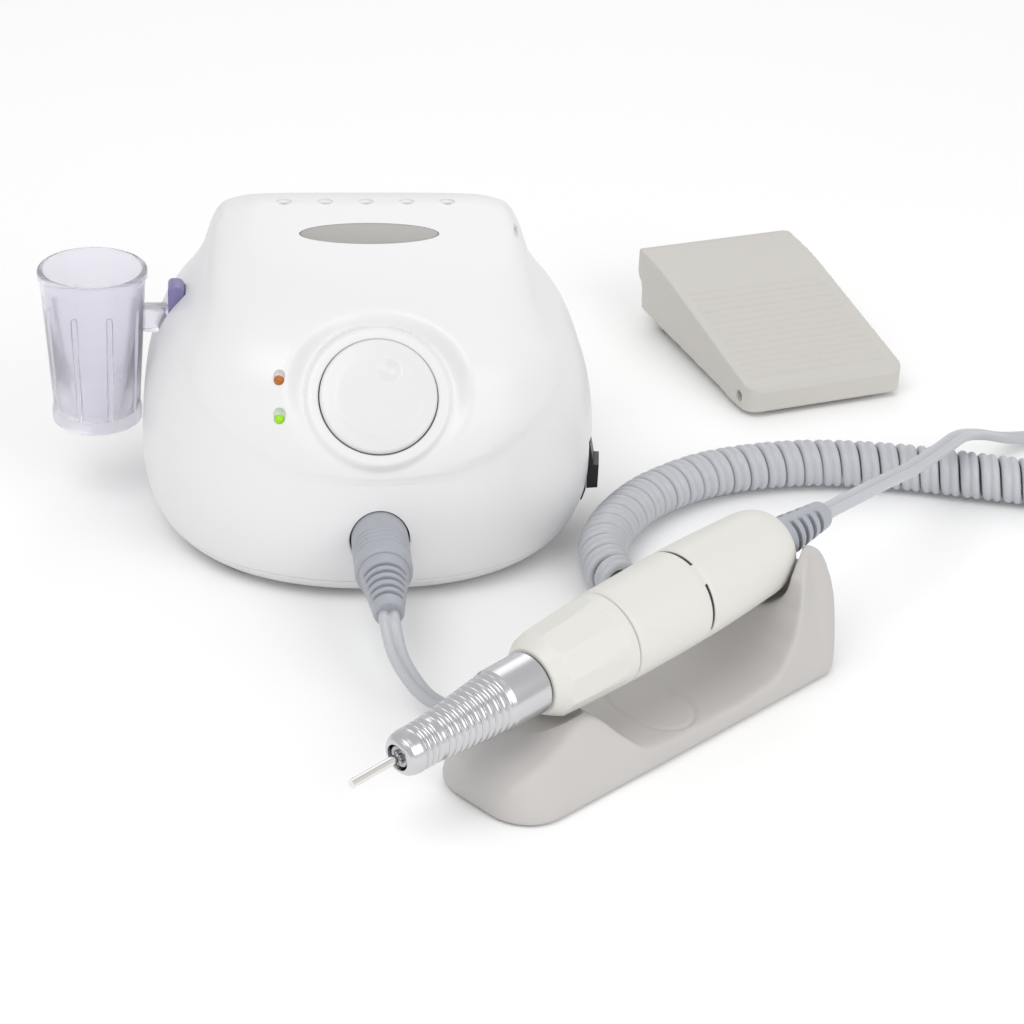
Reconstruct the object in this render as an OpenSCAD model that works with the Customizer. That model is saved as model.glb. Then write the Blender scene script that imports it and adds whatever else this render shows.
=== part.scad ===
// Dental lab micromotor set: control box, handpiece on its rest, cup holder, foot pedal and curly cord.
// Millimetres, +Z up, front of the control box at -Y, floor at z = 0.

/* [Placing] */
// Control box centre, across
box_x = -44.5; // [-60:0.5:-30]
// Control box centre, front to back
box_y = 15; // [0:0.5:30]
// Handpiece rest centre, across
rest_x = 24.9; // [10:0.1:40]
// Handpiece rest centre, front to back
rest_y = -109.2; // [-125:0.2:-95]
// Handpiece rest turn
rest_yaw = 38.5; // [30:0.5:45]
// Pedal centre, across
pedal_x = 104.1; // [90:0.1:120]
// Pedal centre, front to back
pedal_y = 121.4; // [100:0.1:140]
// Pedal turn
pedal_yaw = 17; // [10:0.5:25]

/* [Control box] */
// Moulded wall
wall = 2.6; // [2:0.1:3.5]
// Parting line height
seam_z = 7.2; // [6:0.1:9]
// Foot height
foot_h = 2; // [1.5:0.1:3]
// Knob radius
knob_r = 16.8; // [15:0.1:18]
// Knob height above its collar
knob_up = 2; // [1.5:0.1:4]
// Collar width round the knob
collar_w = 4.7; // [4:0.1:6]
// Knob axis above level
knob_tilt = 41; // [38:0.5:44]
// Gap round the knob
knob_gap = 0.5; // [0.3:0.1:1]
// Control shaft radius
shaft_r = 3; // [2.5:0.1:3.5]
// Spacing of the bur holes
bur_pitch = 12.5; // [10:0.5:14]
// Bur hole radius
bur_r = 1.3; // [1.2:0.05:1.6]
// Plug barrel radius
plug_r = 8.3; // [7:0.1:9]
// Jack height
jack_z = 22; // [18:0.5:24]
// Indicator radius
led_r = 1.5; // [1.2:0.1:2]

/* [Cup] */
// Rim radius
cup_r = 16.5; // [15:0.1:19]
// Foot radius
cup_foot_r = 13.2; // [12:0.1:15]
// Cup height
cup_h = 50; // [44:1:56]
// Cup wall
cup_wall = 2; // [1.5:0.1:3]
// Height of the cup foot over the floor
cup_z = 25.8; // [22:0.2:30]

/* [Handpiece] */
// Barrel radius at the slit ring
barrel_r = 13.6; // [12.5:0.1:14.5]
// Rise of the axis toward the cord
hp_rise = 4; // [2:0.5:6]
// Axis height at the slit ring
hp_z = 34.4; // [32:0.2:38]
// Nose radius at its rear band
nose_r = 8.6; // [8.4:0.1:9.4]
// Spindle radius
spindle_r = 2.5; // [2.2:0.05:2.8]
// Test pin radius
pin_r = 1.175; // [1.15:0.005:1.2]
// Length of test pin showing
pin_out = 15; // [12:0.5:20]
// Running clearance
run = 0.03; // [0.02:0.01:0.08]

/* [Rest] */
// Length
rest_l = 131; // [120:1:140]
// Width
rest_w = 39.5; // [36:0.5:44]
// Height of the rear post
rest_post = 42; // [38:1:46]
// Height of the front block
rest_front = 20.5; // [18:0.5:24]

/* [Pedal] */
// Length
ped_l = 84; // [75:1:95]
// Width
ped_w = 61; // [55:1:70]
// Height at the rear
ped_hr = 26.7; // [22:0.2:32]
// Height at the front
ped_hf = 10.3; // [8:0.1:13]
// Tread ribs
ped_ribs = 15; // [10:1:16]

/* [Cord] */
// Cord width
cord_w = 4.5; // [4:0.1:4.6]
// Cord thickness
cord_t = 3; // [2.6:0.1:3.4]
// Coil radius, to the cord's middle
coil_r = 6; // [5.5:0.1:7]
// Number of curls
curls = 30; // [20:1:32]

/* [Hidden] */
eps = 0.01;
white = [0.93, 0.93, 0.94];
ivory = [0.89, 0.89, 0.86];
grey = [0.65, 0.67, 0.71];
dark = [0.16, 0.16, 0.17];
steel = [0.72, 0.73, 0.75];
warm = [0.73, 0.72, 0.71];

// Housing stations: height, half width, front, back, widest point, squareness of the front
stations = [[2, 60, -56, 60, 0, 2.2], [7.2, 64.5, -60.5, 62, 0, 2.2], [16, 68, -62, 62.5, 0, 2.2],
  [28, 68.8, -61, 62, 0, 2.25], [40, 68, -57.2, 61.3, 0, 2.3], [50, 66, -53, 60.5, 1, 2.4],
  [58, 63, -48.8, 59, 2, 2.5], [64, 59.3, -45, 57.2, 4, 2.7], [69, 55, -40.5, 55.2, 7, 2.9],
  [74, 51.3, -33.5, 52.5, 11, 3.1], [79, 49, -22.5, 49.3, 16, 3.3], [83.5, 47.3, -7.5, 45.5, 22, 3.4],
  [87, 45, 10, 41.5, 28, 3.4], [89, 41.5, 21, 38, 30, 3.4], [89.8, 33, 26.5, 34.5, 31, 3]];
last = len(stations) - 1;
top_z = stations[last][0];
function seg(z, i = 0) = i >= last - 1 || z < stations[i + 1][0] ? i : seg(z, i + 1);
// Slope of the stations at station i
function slope(i) = let(a = stations[max(0, i - 1)], b = stations[min(last, i + 1)]) (b - a)
    / (b[0] - a[0]);
// Housing measures at height z, on a smooth curve through the stations
function at(z) = let(i = seg(z), a = stations[i], b = stations[i + 1], h = b[0] - a[0],
  t = min(1, max(0, (z - a[0]) / h)), u = 1 - t)
  a * (1 + 2 * t) * u * u + b * (3 - 2 * t) * t * t + (slope(i) * u - slope(i + 1) * t) * h * t * u;
function sgp(v, e) = sign(v) * pow(abs(v), e);
// One closed outline of the housing at height z, drawn in by d
function outline(z, d, n) = let(s = at(z)) [for (k = [0:n - 1]) let(a = 360 * (k + 0.5) / n,
    c = cos(a), q = sin(a),
  e = q < 0 ? 2 / s[5] : 0.5)
  [(s[1] - d) * sgp(c, e), s[4] + (q < 0 ? s[4] - s[2] - d : s[3] - s[4] - d) * sgp(q, e)]];
// Solid through a list of heights; lift moves the drawn section down so that the roof keeps its wall
module loft(zs, d, n, lift = 0) {
  m = len(zs);
  pts = [for (z = zs) for (p = outline(z, d, n)) [p[0], p[1], z - lift]];
  sides = [for (i = [0:m - 2]) for (k = [0:n - 1]) let(j = (k + 1) % n)
    each [[i * n + k, (i + 1) * n + k, i * n + j], [i * n + j, (i + 1) * n + k, (i + 1) * n + j]]];
  polyhedron(pts, concat(sides, [[for (k = [0:n - 1]) k], [for (k = [n - 1:-1:0]) (m - 1) * n + k]]));
}
module at_box() translate([box_x, box_y, 0]) children();
// Round bar along +X, profile [radius, x]
module rev(p, fn = 64) rotate([0, 90, 0]) rotate_extrude($fn = fn) polygon(p);
module rod(r, a, b, fn = 48) translate([a, 0, 0]) rotate([0, 90, 0]) cylinder(r = r, h = b - a, $fn = fn);
module tube(ro, ri, a, b) difference() { rod(ro, a, b, 64); rod(ri, a - 1, b + 1, 64); }
// Slab with rounded corners, centred on x and y
module slab(l, w, h, r) {
  translate([-l / 2 + r, -w / 2, 0]) cube([l - 2 * r, w, h]);
  translate([-l / 2, -w / 2 + r, 0]) cube([l, w - 2 * r, h]);
  for (x = [-1, 1], y = [-1, 1]) translate([x * (l / 2 - r), y * (w / 2 - r), 0]) cylinder(r = r,
      h = h, $fn = 48);
}

// Control box
knob_at = [0, -43.1, 58.3];
module knob_frame() translate(knob_at) rotate([90 - knob_tilt, 0, 0]) children();
module on_knob() at_box() knob_frame() children();
collar_r = knob_r + knob_gap + collar_w;
collar_up = 1.8;
scoop_w = 9;
scoop_h = 6;
led_y = [-42.3, -47.6];
led_zs = [63.8, 54];
led_x = -28.5;
module on_led(i) at_box() translate([led_x, led_y[i], led_zs[i]]) rotate([90 - knob_tilt, 0, 0])
    children();
emblem_tilt = 11;
emblem_r = [20.9, 5.6];
emblem_deep = 0.9;
module on_emblem() at_box() translate([0, 10.1, 87]) rotate([emblem_tilt, 0, 0]) children();
bur_y = 28.7;
rack_z = 74;
rack_top = 89.2;
roof_z = 85;
// Bur rack block: width, depth in the roof slot and lip under the roof
rack_w = bur_pitch - 0.1;
rack_d = 8;
rack_lip = 1.5;
slot_gap = 0.05;
// Socket of the handpiece plug: front of the box there, depth behind it and radius
jack_y = -62;
jack_in = 6;
jack_r = plug_r + 2;
rocker_at = [67.2, -14, 22];
rocker_yaw = -8;
module on_rocker() at_box() translate(rocker_at) rotate([0, 0, rocker_yaw]) children();
back_y = 57;
panel_w = 92;
panel_h = 30;
panel_t = 3;
panel_z = seam_z + 4;
port_z = 27;
inlet_x = -24.3;
fuse_x = 4;
// Right edge of the plate that carries the mains inlet
plate_x = inlet_x + 16;
pedal_jack_x = 28;
// Cup axis, height of its clip and of the arm between them
cup_at = [-82.9, 12];
slot_z = 64;
arm_z = 59.4;
slot_half = [4.2, 7.2];
// Outer face of the clip in its slot
clip_x = -60.5;
clip_half = [3.9, 6.8];
clip_t = 5;
screw_at = [[-46, -18], [46, -18], [-46, 44], [46, 44]];
shell_z = [seam_z, 11, 16, 22, 28, 34, 40, 45, 50, 54, 58, 61, 64, 66.5, 69, 71.5, 74, 76.5, 79, 81.3,
    83.5, 85.5,
  87, 88.1, 89, top_z];
cave_z = [seam_z, 16, 28, 40, 50, 58, 64, 69, 74, 79, 83.5, 87, 89, top_z];

module housing() color(white) difference() {
  union() {
    at_box() difference() {
      loft(shell_z, 0, 64);
      difference() {
        union() {
          loft(cave_z, wall, 40, wall);
          translate([-55, -50, seam_z - wall - 1]) cube([110, 104, wall + 1 + eps]);
        }
        translate([-50, 52.5, 0]) cube([100, 12, 46]);
        for (p = screw_at) {
          translate([p[0], p[1], seam_z]) cylinder(r = 4, h = 8, $fn = 32);
          translate([p[0] > 0 ? p[0] : p[0] - 20, p[1] - 1, seam_z]) cube([20, 2, 4.8]);
        }
        translate(rocker_at) rotate([0, 0, rocker_yaw]) translate([-5, -10, -13]) cube([9, 20, 26]);
        translate([-70, cup_at[1] - 8, slot_z - 11]) cube([18, 16, 20]);
        translate([-2.5 * bur_pitch - 3, bur_y - rack_d / 2 - 3, roof_z]) cube([5 * bur_pitch + 6,
            rack_d + 6, 10]);
        knob_frame() translate([0, 0, -9]) cylinder(r = collar_r + scoop_w, h = 30, $fn = 64);
      }
    }
    on_knob() translate([0, 0, -7]) cylinder(r = collar_r, h = 7 + collar_up, $fn = 72);
  }
  on_knob() difference() {
    translate([0, 0, -1]) cylinder(r1 = collar_r + 0.2, r2 = collar_r + scoop_w, h = scoop_h, $fn = 72);
    translate([0, 0, -2]) cylinder(r = collar_r, h = scoop_h + 2, $fn = 72);
  }
  on_knob() translate([0, 0, collar_up]) cylinder(r = collar_r + 0.1, h = scoop_h, $fn = 72);
  on_knob() translate([0, 0, -4]) cylinder(r = knob_r + knob_gap, h = 20, $fn = 72);
  on_knob() translate([0, 0, -30]) cylinder(r = 4, h = 40, $fn = 40);
  for (i = [0, 1]) on_led(i) translate([0, 0, -12]) cylinder(r = led_r + eps, h = 24, $fn = 24);
  on_emblem() translate([0, 0, -emblem_deep]) linear_extrude(5) resize(2 * [emblem_r[0] + 0.2,
      emblem_r[1] + 0.2]) circle(r = 10, $fn = 64);
  at_box() translate([-2.5 * bur_pitch, bur_y - rack_d / 2 - slot_gap, roof_z - 2])
    cube([5 * bur_pitch, rack_d + 2 * slot_gap, 20]);
  at_box() translate([0, jack_y - 8, jack_z]) rotate([-90, 0, 0]) cylinder(r = plug_r + 0.4, h = 20,
      $fn = 48);
  at_box() translate([0, jack_y + jack_in, jack_z]) rotate([-90, 0, 0]) cylinder(r = jack_r + slot_gap,
      h = 20, $fn = 48);
  on_rocker() translate([-2.2, -7.2, -10.2]) cube([12, 14.4, 20.4]);
  on_rocker() translate([-10, -6.6, -9.6]) cube([20, 13.2, 19.2]);
  at_box() translate([-panel_w / 2, back_y - panel_t, panel_z]) cube([panel_w, 20, panel_h]);
  at_box() translate([-panel_w / 2 + 2, 40, panel_z + 2]) cube([panel_w - 4, 30, panel_h - 4]);
  at_box() for (p = screw_at) translate([p[0], p[1], seam_z - 1]) cylinder(r = 1.5, h = 8, $fn = 24);
  at_box() translate([-75, cup_at[1] - slot_half[0], arm_z - 4.4])
    cube([75 + clip_x + clip_t + 0.3, 2 * slot_half[0], slot_z + slot_half[1] - arm_z + 4.4]);
}
module base() color(white) at_box() difference() {
  loft([2, 4, seam_z - 0.05], 0, 64);
  translate([0, 0, 3]) loft([2.5, 4, 9], wall + 0.6, 40);
  for (p = screw_at) translate([p[0], p[1], 0]) cylinder(r = 1.7, h = 20, $fn = 24);
  for (p = screw_at) translate([p[0], p[1], 0]) cylinder(r = 3.2, h = 3.2, $fn = 32);
}
module box_feet() color(dark) at_box() for (x = [-38, 38], y = [-34, 48]) translate([x, y, 0])
    cylinder(r = 6, h = foot_h, $fn = 40);
module box_screws() color(steel) at_box() for (p = screw_at) translate([p[0], p[1], 0]) {
  translate([0, 0, 1]) cylinder(r = 2.8, h = 2.2, $fn = 32);
  translate([0, 0, 1]) cylinder(r = 1.48, h = 11, $fn = 24);
}
module emblem() color(warm) on_emblem() translate([0, 0, -emblem_deep]) linear_extrude(emblem_deep + 0.4)
  resize(2 * emblem_r) circle(r = 10, $fn = 64);
module bur_block(i) difference() {
  union() {
    translate([i * bur_pitch - rack_w / 2, bur_y - rack_d / 2 - rack_lip, rack_z])
      cube([rack_w, rack_d + 2 * rack_lip, roof_z - rack_z]);
    translate([i * bur_pitch - rack_w / 2, bur_y - rack_d / 2, rack_z]) cube([rack_w, rack_d,
        rack_top - rack_z]);
  }
  translate([i * bur_pitch, bur_y, rack_z + 1.5]) cylinder(r = bur_r, h = 30, $fn = 24);
}
module bur_rack() color(white) at_box() for (i = [-2:2]) bur_block(i);
module speed_knob() color(white) on_knob() difference() {
  union() {
    translate([0, 0, -3]) cylinder(r = knob_r, h = 3 + collar_up + knob_up - 1.5, $fn = 72);
    translate([0, 0, collar_up + knob_up - 1.5]) cylinder(r1 = knob_r, r2 = knob_r - 1.8, h = 1,
        $fn = 72);
    translate([0, 0, collar_up + knob_up - 0.5]) cylinder(r = knob_r - 4.6, h = 0.9, $fn = 64);
  }
  translate([0, 0, -4]) cylinder(r = shaft_r, h = 4 + collar_up + knob_up - 2.4, $fn = 40);
  rotate([0, 0, -25]) translate([0, 8, collar_up + knob_up + 5.2]) sphere(r = 6.4, $fn = 36);
}
module speed_control() color(steel) on_knob() difference() {
  union() {
    translate([0, 0, -26]) cylinder(r = 8.8, h = 16, $fn = 48);
    translate([0, 0, -11]) cylinder(r = 3.95, h = 7, $fn = 40);
    translate([-5, -16, -25]) cube([10, 9, 1.6]);
  }
  translate([0, 0, -22]) cylinder(r = shaft_r + run, h = 30, $fn = 40);
}
module knob_shaft() color(steel) on_knob() translate([0, 0, -21]) cylinder(r = shaft_r,
    h = 21 + collar_up + knob_up - 2.4, $fn = 40);
module led(i) on_led(i) {
  translate([0, 0, -9]) cylinder(r = led_r, h = 9, $fn = 24);
  sphere(r = led_r, $fn = 24);
}
module led_amber() color([0.75, 0.43, 0.08]) led(0);
module led_green() color([0.59, 0.86, 0.08]) led(1);
module jack() color(dark) at_box() translate([0, jack_y, jack_z]) rotate([-90, 0, 0]) difference() {
  translate([0, 0, jack_in]) cylinder(r = jack_r, h = 14, $fn = 48);
  translate([0, 0, jack_in - 1]) cylinder(r = plug_r - 2.5 + 0.05, h = 12, $fn = 48);
}
pivot_x = -2.2;
pivot_r = 0.8;
module power_frame() color(dark) on_rocker() difference() {
  union() {
    translate([-2.2, -6.9, -9.9]) cube([1.6, 13.8, 19.8]);
    translate([-16, -6.5, -9.5]) cube([15, 13, 19]);
  }
  translate([-7, -5, -8]) cube([12, 10, 16]);
  translate([pivot_x, -5.6, 0]) rotate([-90, 0, 0]) cylinder(r = pivot_r + run, h = 11.2, $fn = 32);
}
module power_rocker() color(dark) on_rocker() translate([pivot_x, 0, 0]) rotate([0, -8, 0])
    translate([-pivot_x, 0, 0]) {
  intersection() {
    translate([-2, -4.6, -7.2]) cube([5.4, 9.2, 14.4]);
    union() {
      translate([-1.5, -5, -8]) rotate([0, 8, 0]) cube([3.4, 10, 9]);
      translate([-1.5, -5, -1]) rotate([0, -4, 0]) cube([3.2, 10, 9]);
    }
  }
  translate([pivot_x - 1.2, -4.6, -1.5]) cube([2.6, 9.2, 3]);
  translate([pivot_x, -5.5, 0]) rotate([-90, 0, 0]) cylinder(r = pivot_r, h = 11, $fn = 32);
}
floor_z = 5.5;
module transformer() color([0.4, 0.38, 0.36]) at_box() translate([-26, 18, floor_z]) {
  difference() {
    translate([-25, -21, 2]) cube([50, 42, 34]);
    for (x = [-1, 1]) translate([x * 11 - 4.6, -22, 9]) cube([9.2, 44, 20]);
  }
  for (x = [-1, 1]) translate([x * 11 - 4.5, -20, 9.1]) cube([9, 40, 19.8]);
  translate([-25, -21, 0]) cube([50, 42, 2]);
}
module circuit_board() color([0.1, 0.4, 0.25]) at_box() translate([28, 13, 10]) {
  translate([-24, -26, 0]) cube([48, 52, 1.6]);
  for (x = [-21, 21], y = [-23, 23]) translate([x, y, floor_z - 10]) cylinder(r = 2.4,
      h = 10.1 - floor_z, $fn = 24);
  translate([-12, 8, 1.5]) cylinder(r = 7, h = 22, $fn = 40);
  translate([2, -20, 1.5]) cube([16, 13, 12]);
  translate([-18, -18, 1.5]) cube([12, 4, 16]);
}
module rear_panel() color(white) at_box() difference() {
  translate([plate_x + slot_gap, back_y - panel_t, panel_z + slot_gap])
    cube([panel_w / 2 - plate_x - 2 * slot_gap, panel_t, panel_h - 2 * slot_gap]);
  translate([fuse_x, 40, port_z]) rotate([-90, 0, 0]) cylinder(r = 6.05, h = 30, $fn = 40);
  translate([pedal_jack_x, 40, port_z]) rotate([-90, 0, 0]) cylinder(r = 4.55, h = 30, $fn = 40);
}
module mains_inlet() color(dark) at_box() translate([inlet_x, back_y, port_z]) difference() {
  union() {
    translate([-15, -0.5, -11]) cube([30, 3, 22]);
    translate([-13.6, -16, -9.9]) cube([27.2, 16.5, 19.8]);
    translate([-panel_w / 2 + slot_gap - inlet_x, -panel_t, panel_z + slot_gap - port_z])
      cube([plate_x + panel_w / 2 - slot_gap, panel_t, panel_h - 2 * slot_gap]);
  }
  translate([-11, -12, -7]) cube([22, 20, 14]);
}
module fuse_holder() color(dark) at_box() translate([fuse_x, back_y, port_z]) rotate([-90, 0, 0]) {
  cylinder(r = 7.5, h = 3.5, $fn = 40);
  translate([0, 0, -16]) cylinder(r = 6, h = 16.5, $fn = 40);
}
module pedal_jack() color(dark) at_box() translate([pedal_jack_x, back_y, port_z]) rotate([-90, 0, 0])
    difference() {
  union() {
    cylinder(r = 6.5, h = 2.5, $fn = 40);
    translate([0, 0, -16]) cylinder(r = 4.5, h = 16.5, $fn = 40);
  }
  translate([0, 0, -13]) cylinder(r = 3.25, h = 20, $fn = 40);
}

// Cup
module cup() color([0.8, 0.79, 0.88, 0.5]) at_box() translate([cup_at[0], cup_at[1], cup_z]) {
  rotate_extrude($fn = 72) polygon([[0, 0], [cup_foot_r, 0], [cup_foot_r + 0.5, 1], [cup_foot_r + 0.5,
      4], [cup_foot_r, 5.5],
    [cup_r - 0.6, cup_h - 3], [cup_r, cup_h - 2.4], [cup_r, cup_h - 0.6], [cup_r - 0.6, cup_h],
    [cup_r - cup_wall, cup_h], [cup_foot_r - cup_wall, 3], [0, 3]]);
  for (k = [0:7]) rotate([0, 0, 45 * k + 22]) translate([cup_foot_r - cup_wall + 0.4, 0, 4]) rotate([0,
      2.6, 0]) cylinder(r = 1, h = cup_h - 14, $fn = 20);
  translate([cup_r - 2, -3, arm_z - cup_z - 4]) cube([clip_x - cup_at[0] - cup_r + 2, 6, 8]);
}
module cup_clip() color([0.51, 0.49, 0.65]) at_box() translate([clip_x, cup_at[1] - clip_half[0],
    slot_z - clip_half[1]])
  cube([clip_t, 2 * clip_half[0], 2 * clip_half[1]]);

// Handpiece
ca = cos(rest_yaw);
sa = sin(rest_yaw);
hp_u = 9.75;
boot_l = 61;
module on_hp() translate([rest_x + hp_u * ca, rest_y + hp_u * sa, hp_z]) rotate([0, 0, rest_yaw])
    rotate([0, -hp_rise, 0]) children();
nose_a = -102.5;
nose_b = -56;
sleeve_b = -28;
neck_r = 8;
bear_r = 5;
// Slits behind the motor case: half width, radius of the case's seat in the cap, and the bridges between
slit = 0.5;
seat_r = 12;
bridge_w = 6.4;
bridge_turn = 65;
module nose_cone() color(steel) on_hp() difference() {
  rev([[3.6, nose_a], [4.4, nose_a], [5.6, nose_a + 1.2], [6.1, nose_a + 4], [6.1, nose_a + 11],
      [nose_r - 0.5, nose_b - 11], [nose_r, nose_b - 10], [nose_r, nose_b - 0.3],
    [6.6, nose_b - 0.3], [6.6, nose_b - 8], [bear_r, nose_b - 8], [bear_r, nose_a + 5], [3.6,
        nose_a + 5]]);
  for (k = [0:2]) tube_cut(nose_a + 5 + 1.9 * k, 5.6);
  for (k = [0:9]) tube_cut(nose_a + 13 + 2.15 * k, 5.75 + 0.16 * k);
}
module tube_cut(x, r) difference() { rod(r + 4, x, x + 0.8); rod(r, x - 1, x + 2); }
module lock_sleeve() color(ivory) on_hp() difference() {
  intersection() {
    rev([[0, nose_b], [nose_r + 0.5, nose_b], [11.9, nose_b + 5], [barrel_r - 0.4, sleeve_b - 1],
        [barrel_r - 0.8, sleeve_b - 0.3], [0, sleeve_b - 0.3]]);
    translate([nose_b - 1, 0, 0]) rotate([0, 90, 0]) cylinder(r1 = 11.9, r2 = barrel_r + 0.4, h = 30,
        $fn = 10);
  }
  rod(neck_r + 0.06, nose_b - 2, sleeve_b + 2, 64);
}
module motor_case() color(ivory) on_hp() difference() {
  union() {
    rev([[0, sleeve_b], [barrel_r - 0.6, sleeve_b], [barrel_r - 0.2, sleeve_b + 0.5], [barrel_r, -6],
        [barrel_r, -slit], [seat_r, -slit], [seat_r, 27], [0, 27]]);
    rod(neck_r, nose_b, sleeve_b + 1, 64);
  }
  rod(6.6, nose_b - 1, sleeve_b + 1, 48);
  rod(bear_r, sleeve_b, sleeve_b + 6, 48);
  rod(11, sleeve_b + 5, 30, 64);
}
module slit_ring() color(dark) on_hp() difference() {
  tube(barrel_r - 0.6, seat_r, -slit + 0.02, slit - 0.02);
  for (k = [0:3]) rotate([90 * k + bridge_turn, 0, 0]) translate([-2, -bridge_w / 2 - 0.1, 10])
      cube([4, bridge_w + 0.2, 6]);
}
module rear_cap() color(ivory) on_hp() {
  rev([[seat_r + slot_gap, slit], [barrel_r, slit], [barrel_r, 6], [barrel_r - 0.7, 26],
      [barrel_r - 1.8, 33], [barrel_r - 4, 38], [barrel_r - 7, 40], [4.6, 40],
    [4.6, 35.5], [8, 35.5], [8, 34], [seat_r + slot_gap, 30]]);
  intersection() {
    tube(barrel_r - 0.3, seat_r + slot_gap, -slit + 0.05, slit + 0.5);
    for (k = [0:3]) rotate([90 * k + bridge_turn, 0, 0]) translate([-2, -bridge_w / 2, 9]) cube([4,
        bridge_w, 8]);
  }
}
module tail_boot() color(grey) on_hp() difference() {
  union() {
    rod(6.4, 34.6, 35.4);
    rod(4.6, 34.6, 40.2);
    rev([[0, 40.1], [6.2, 40.1], [6.2, 42], [4.2, boot_l - 1], [3.8, boot_l], [0, boot_l]], 40);
  }
  for (k = [0:3]) for (s = [-1, 1]) translate([44 + 3.6 * k, s > 0 ? 1.6 : -11.6, -8]) cube([1.6, 10,
      16]);
}
module spindle() color(steel) on_hp() difference() {
  rev([[0, nose_a + 0.6], [2.8, nose_a + 0.6], [3.2, nose_a + 1.2], [3.2, nose_a + 4.4],
      [spindle_r - run, nose_a + 4.4], [spindle_r - run, -50], [0, -50]], 48);
  rod(1.9, nose_a - 1, -78, 40);
}
module bearing(a) difference() { rod(bear_r, a, a + 4); rod(spindle_r, a - 1, a + 5); }
module front_bearing() color(steel) on_hp() bearing(nose_a + 5);
module inner_bearing() color(steel) on_hp() bearing(nose_b - 13);
module middle_bearing() color(steel) on_hp() difference() { rod(bear_r, sleeve_b + 1,
    sleeve_b + 5); rod(2 + run, sleeve_b, sleeve_b + 6); }
module rear_bearing() color(steel) on_hp() difference() { rod(bear_r, 26, 30); rod(2 + run, 25, 33); }
module collet() color(steel) on_hp() difference() {
  rod(1.87, nose_a - 0.2, -80, 40);
  rod(pin_r - 0.01, nose_a - 1, -85, 32);
  for (a = [0, 60, 120]) rotate([a, 0, 0]) translate([nose_a - 1, -2.5, -0.15]) cube([14, 5, 0.3]);
}
module test_pin() color(steel) on_hp() {
  rod(pin_r, nose_a - 0.2 - pin_out, nose_a - 0.2, 32);
  rod(pin_r - 0.01, nose_a - 0.3, -86, 32);
}
module coupling() color(dark) on_hp() difference() { rod(4.4, -56, -44); rod(spindle_r - run, -57,
    -50); rod(2, -51, -43); }
module armature() color([0.6, 0.42, 0.25]) on_hp() {
  rod(2, -50, 31);
  difference() {
    rod(8.4, -18, 11);
    for (k = [0:6]) rotate([360 / 7 * k, 0, 0]) translate([-19, -0.9, 5]) cube([31, 1.8, 6]);
  }
  rod(4.5, 13, 22);
}
module magnets() color(dark) on_hp() difference() {
  tube(11, 9, -19, 12);
  for (s = [-1, 1]) translate([-20, s * 10 - 2, -1.5]) cube([33, 4, 3]);
}
module brush_holder() color([0.35, 0.3, 0.25]) on_hp() difference() {
  union() {
    rod(10.98, 23.5, 30.5);
    for (s = [-1, 1]) translate([13, s * 7.6 - 2.4, -4]) cube([11, 4.8, 8]);
  }
  rod(3, 20, 30);
  rod(bear_r, 26, 31);
  for (s = [-1, 1]) translate([15, s * 8 - 5, -2]) cube([5, 10, 4]);
}
module brush(s) on_hp() translate([15.1, s > 0 ? 4.52 : -10.52, -1.9]) cube([4.8, 6, 3.8]);
module brush_left() color(dark) brush(-1);
module brush_right() color(dark) brush(1);

// Handpiece rest
rest_corner = 13;
module on_rest() translate([rest_x, rest_y, 0]) rotate([0, 0, rest_yaw]) children();
module handpiece_rest() color(warm) difference() {
  on_rest() intersection() {
    slab(rest_l, rest_w, 60, rest_corner);
    translate([0, rest_w, 0]) rotate([90, 0, 0]) linear_extrude(2 * rest_w) polygon([[-65.5, 0],
        [-65.5, 6], [-63.5, 10.5], [-58, 14],
      [-48, rest_front - 4], [-40, rest_front - 1], [-35.5, rest_front], [-31.5, rest_front - 2], [-27,
          14], [-20, 10.5], [-10, 9], [12, 9], [22, 11],
      [29, 17], [34, 26], [38, 37], [41, rest_post - 2],
      [45, rest_post], [51, rest_post], [54.5, rest_post - 2], [58, 36], [62, 22], [64.5, 10], [65.5,
          0]]);
  }
  trough(barrel_r + 0.4, -52, 36, 64);
  on_hp() rod(12.4, -70, -40, 64);
  trough(11.2, 34, 40.6, 48);
  trough(8.4, 30, 80, 48);
}
// Round-bottomed channel along the handpiece, open upward
module trough(r, a, b, fn) on_hp() {
  rod(r, a, b, fn);
  translate([a, -r, 0]) cube([b - a, 2 * r, 40]);
}
// Foot pedal
module on_pedal() translate([pedal_x, pedal_y, 0]) rotate([0, 0, pedal_yaw]) children();
ped_f = -ped_l / 2;
ped_r = ped_l / 2;
ped_slope = (ped_hr - 5.2 - ped_hf) / (ped_l - 32.5);
ped_rise = atan(ped_slope);
rib_pitch = (ped_l - 36.4) / (ped_ribs - 1);
hinge_y = ped_f + 7;
hinge_z = 5.6;
switch_z = 13;
gland_z = 5;
bone = [0.82, 0.8, 0.78];
spring_y = 2;
spring_r = 4.6;
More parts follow.
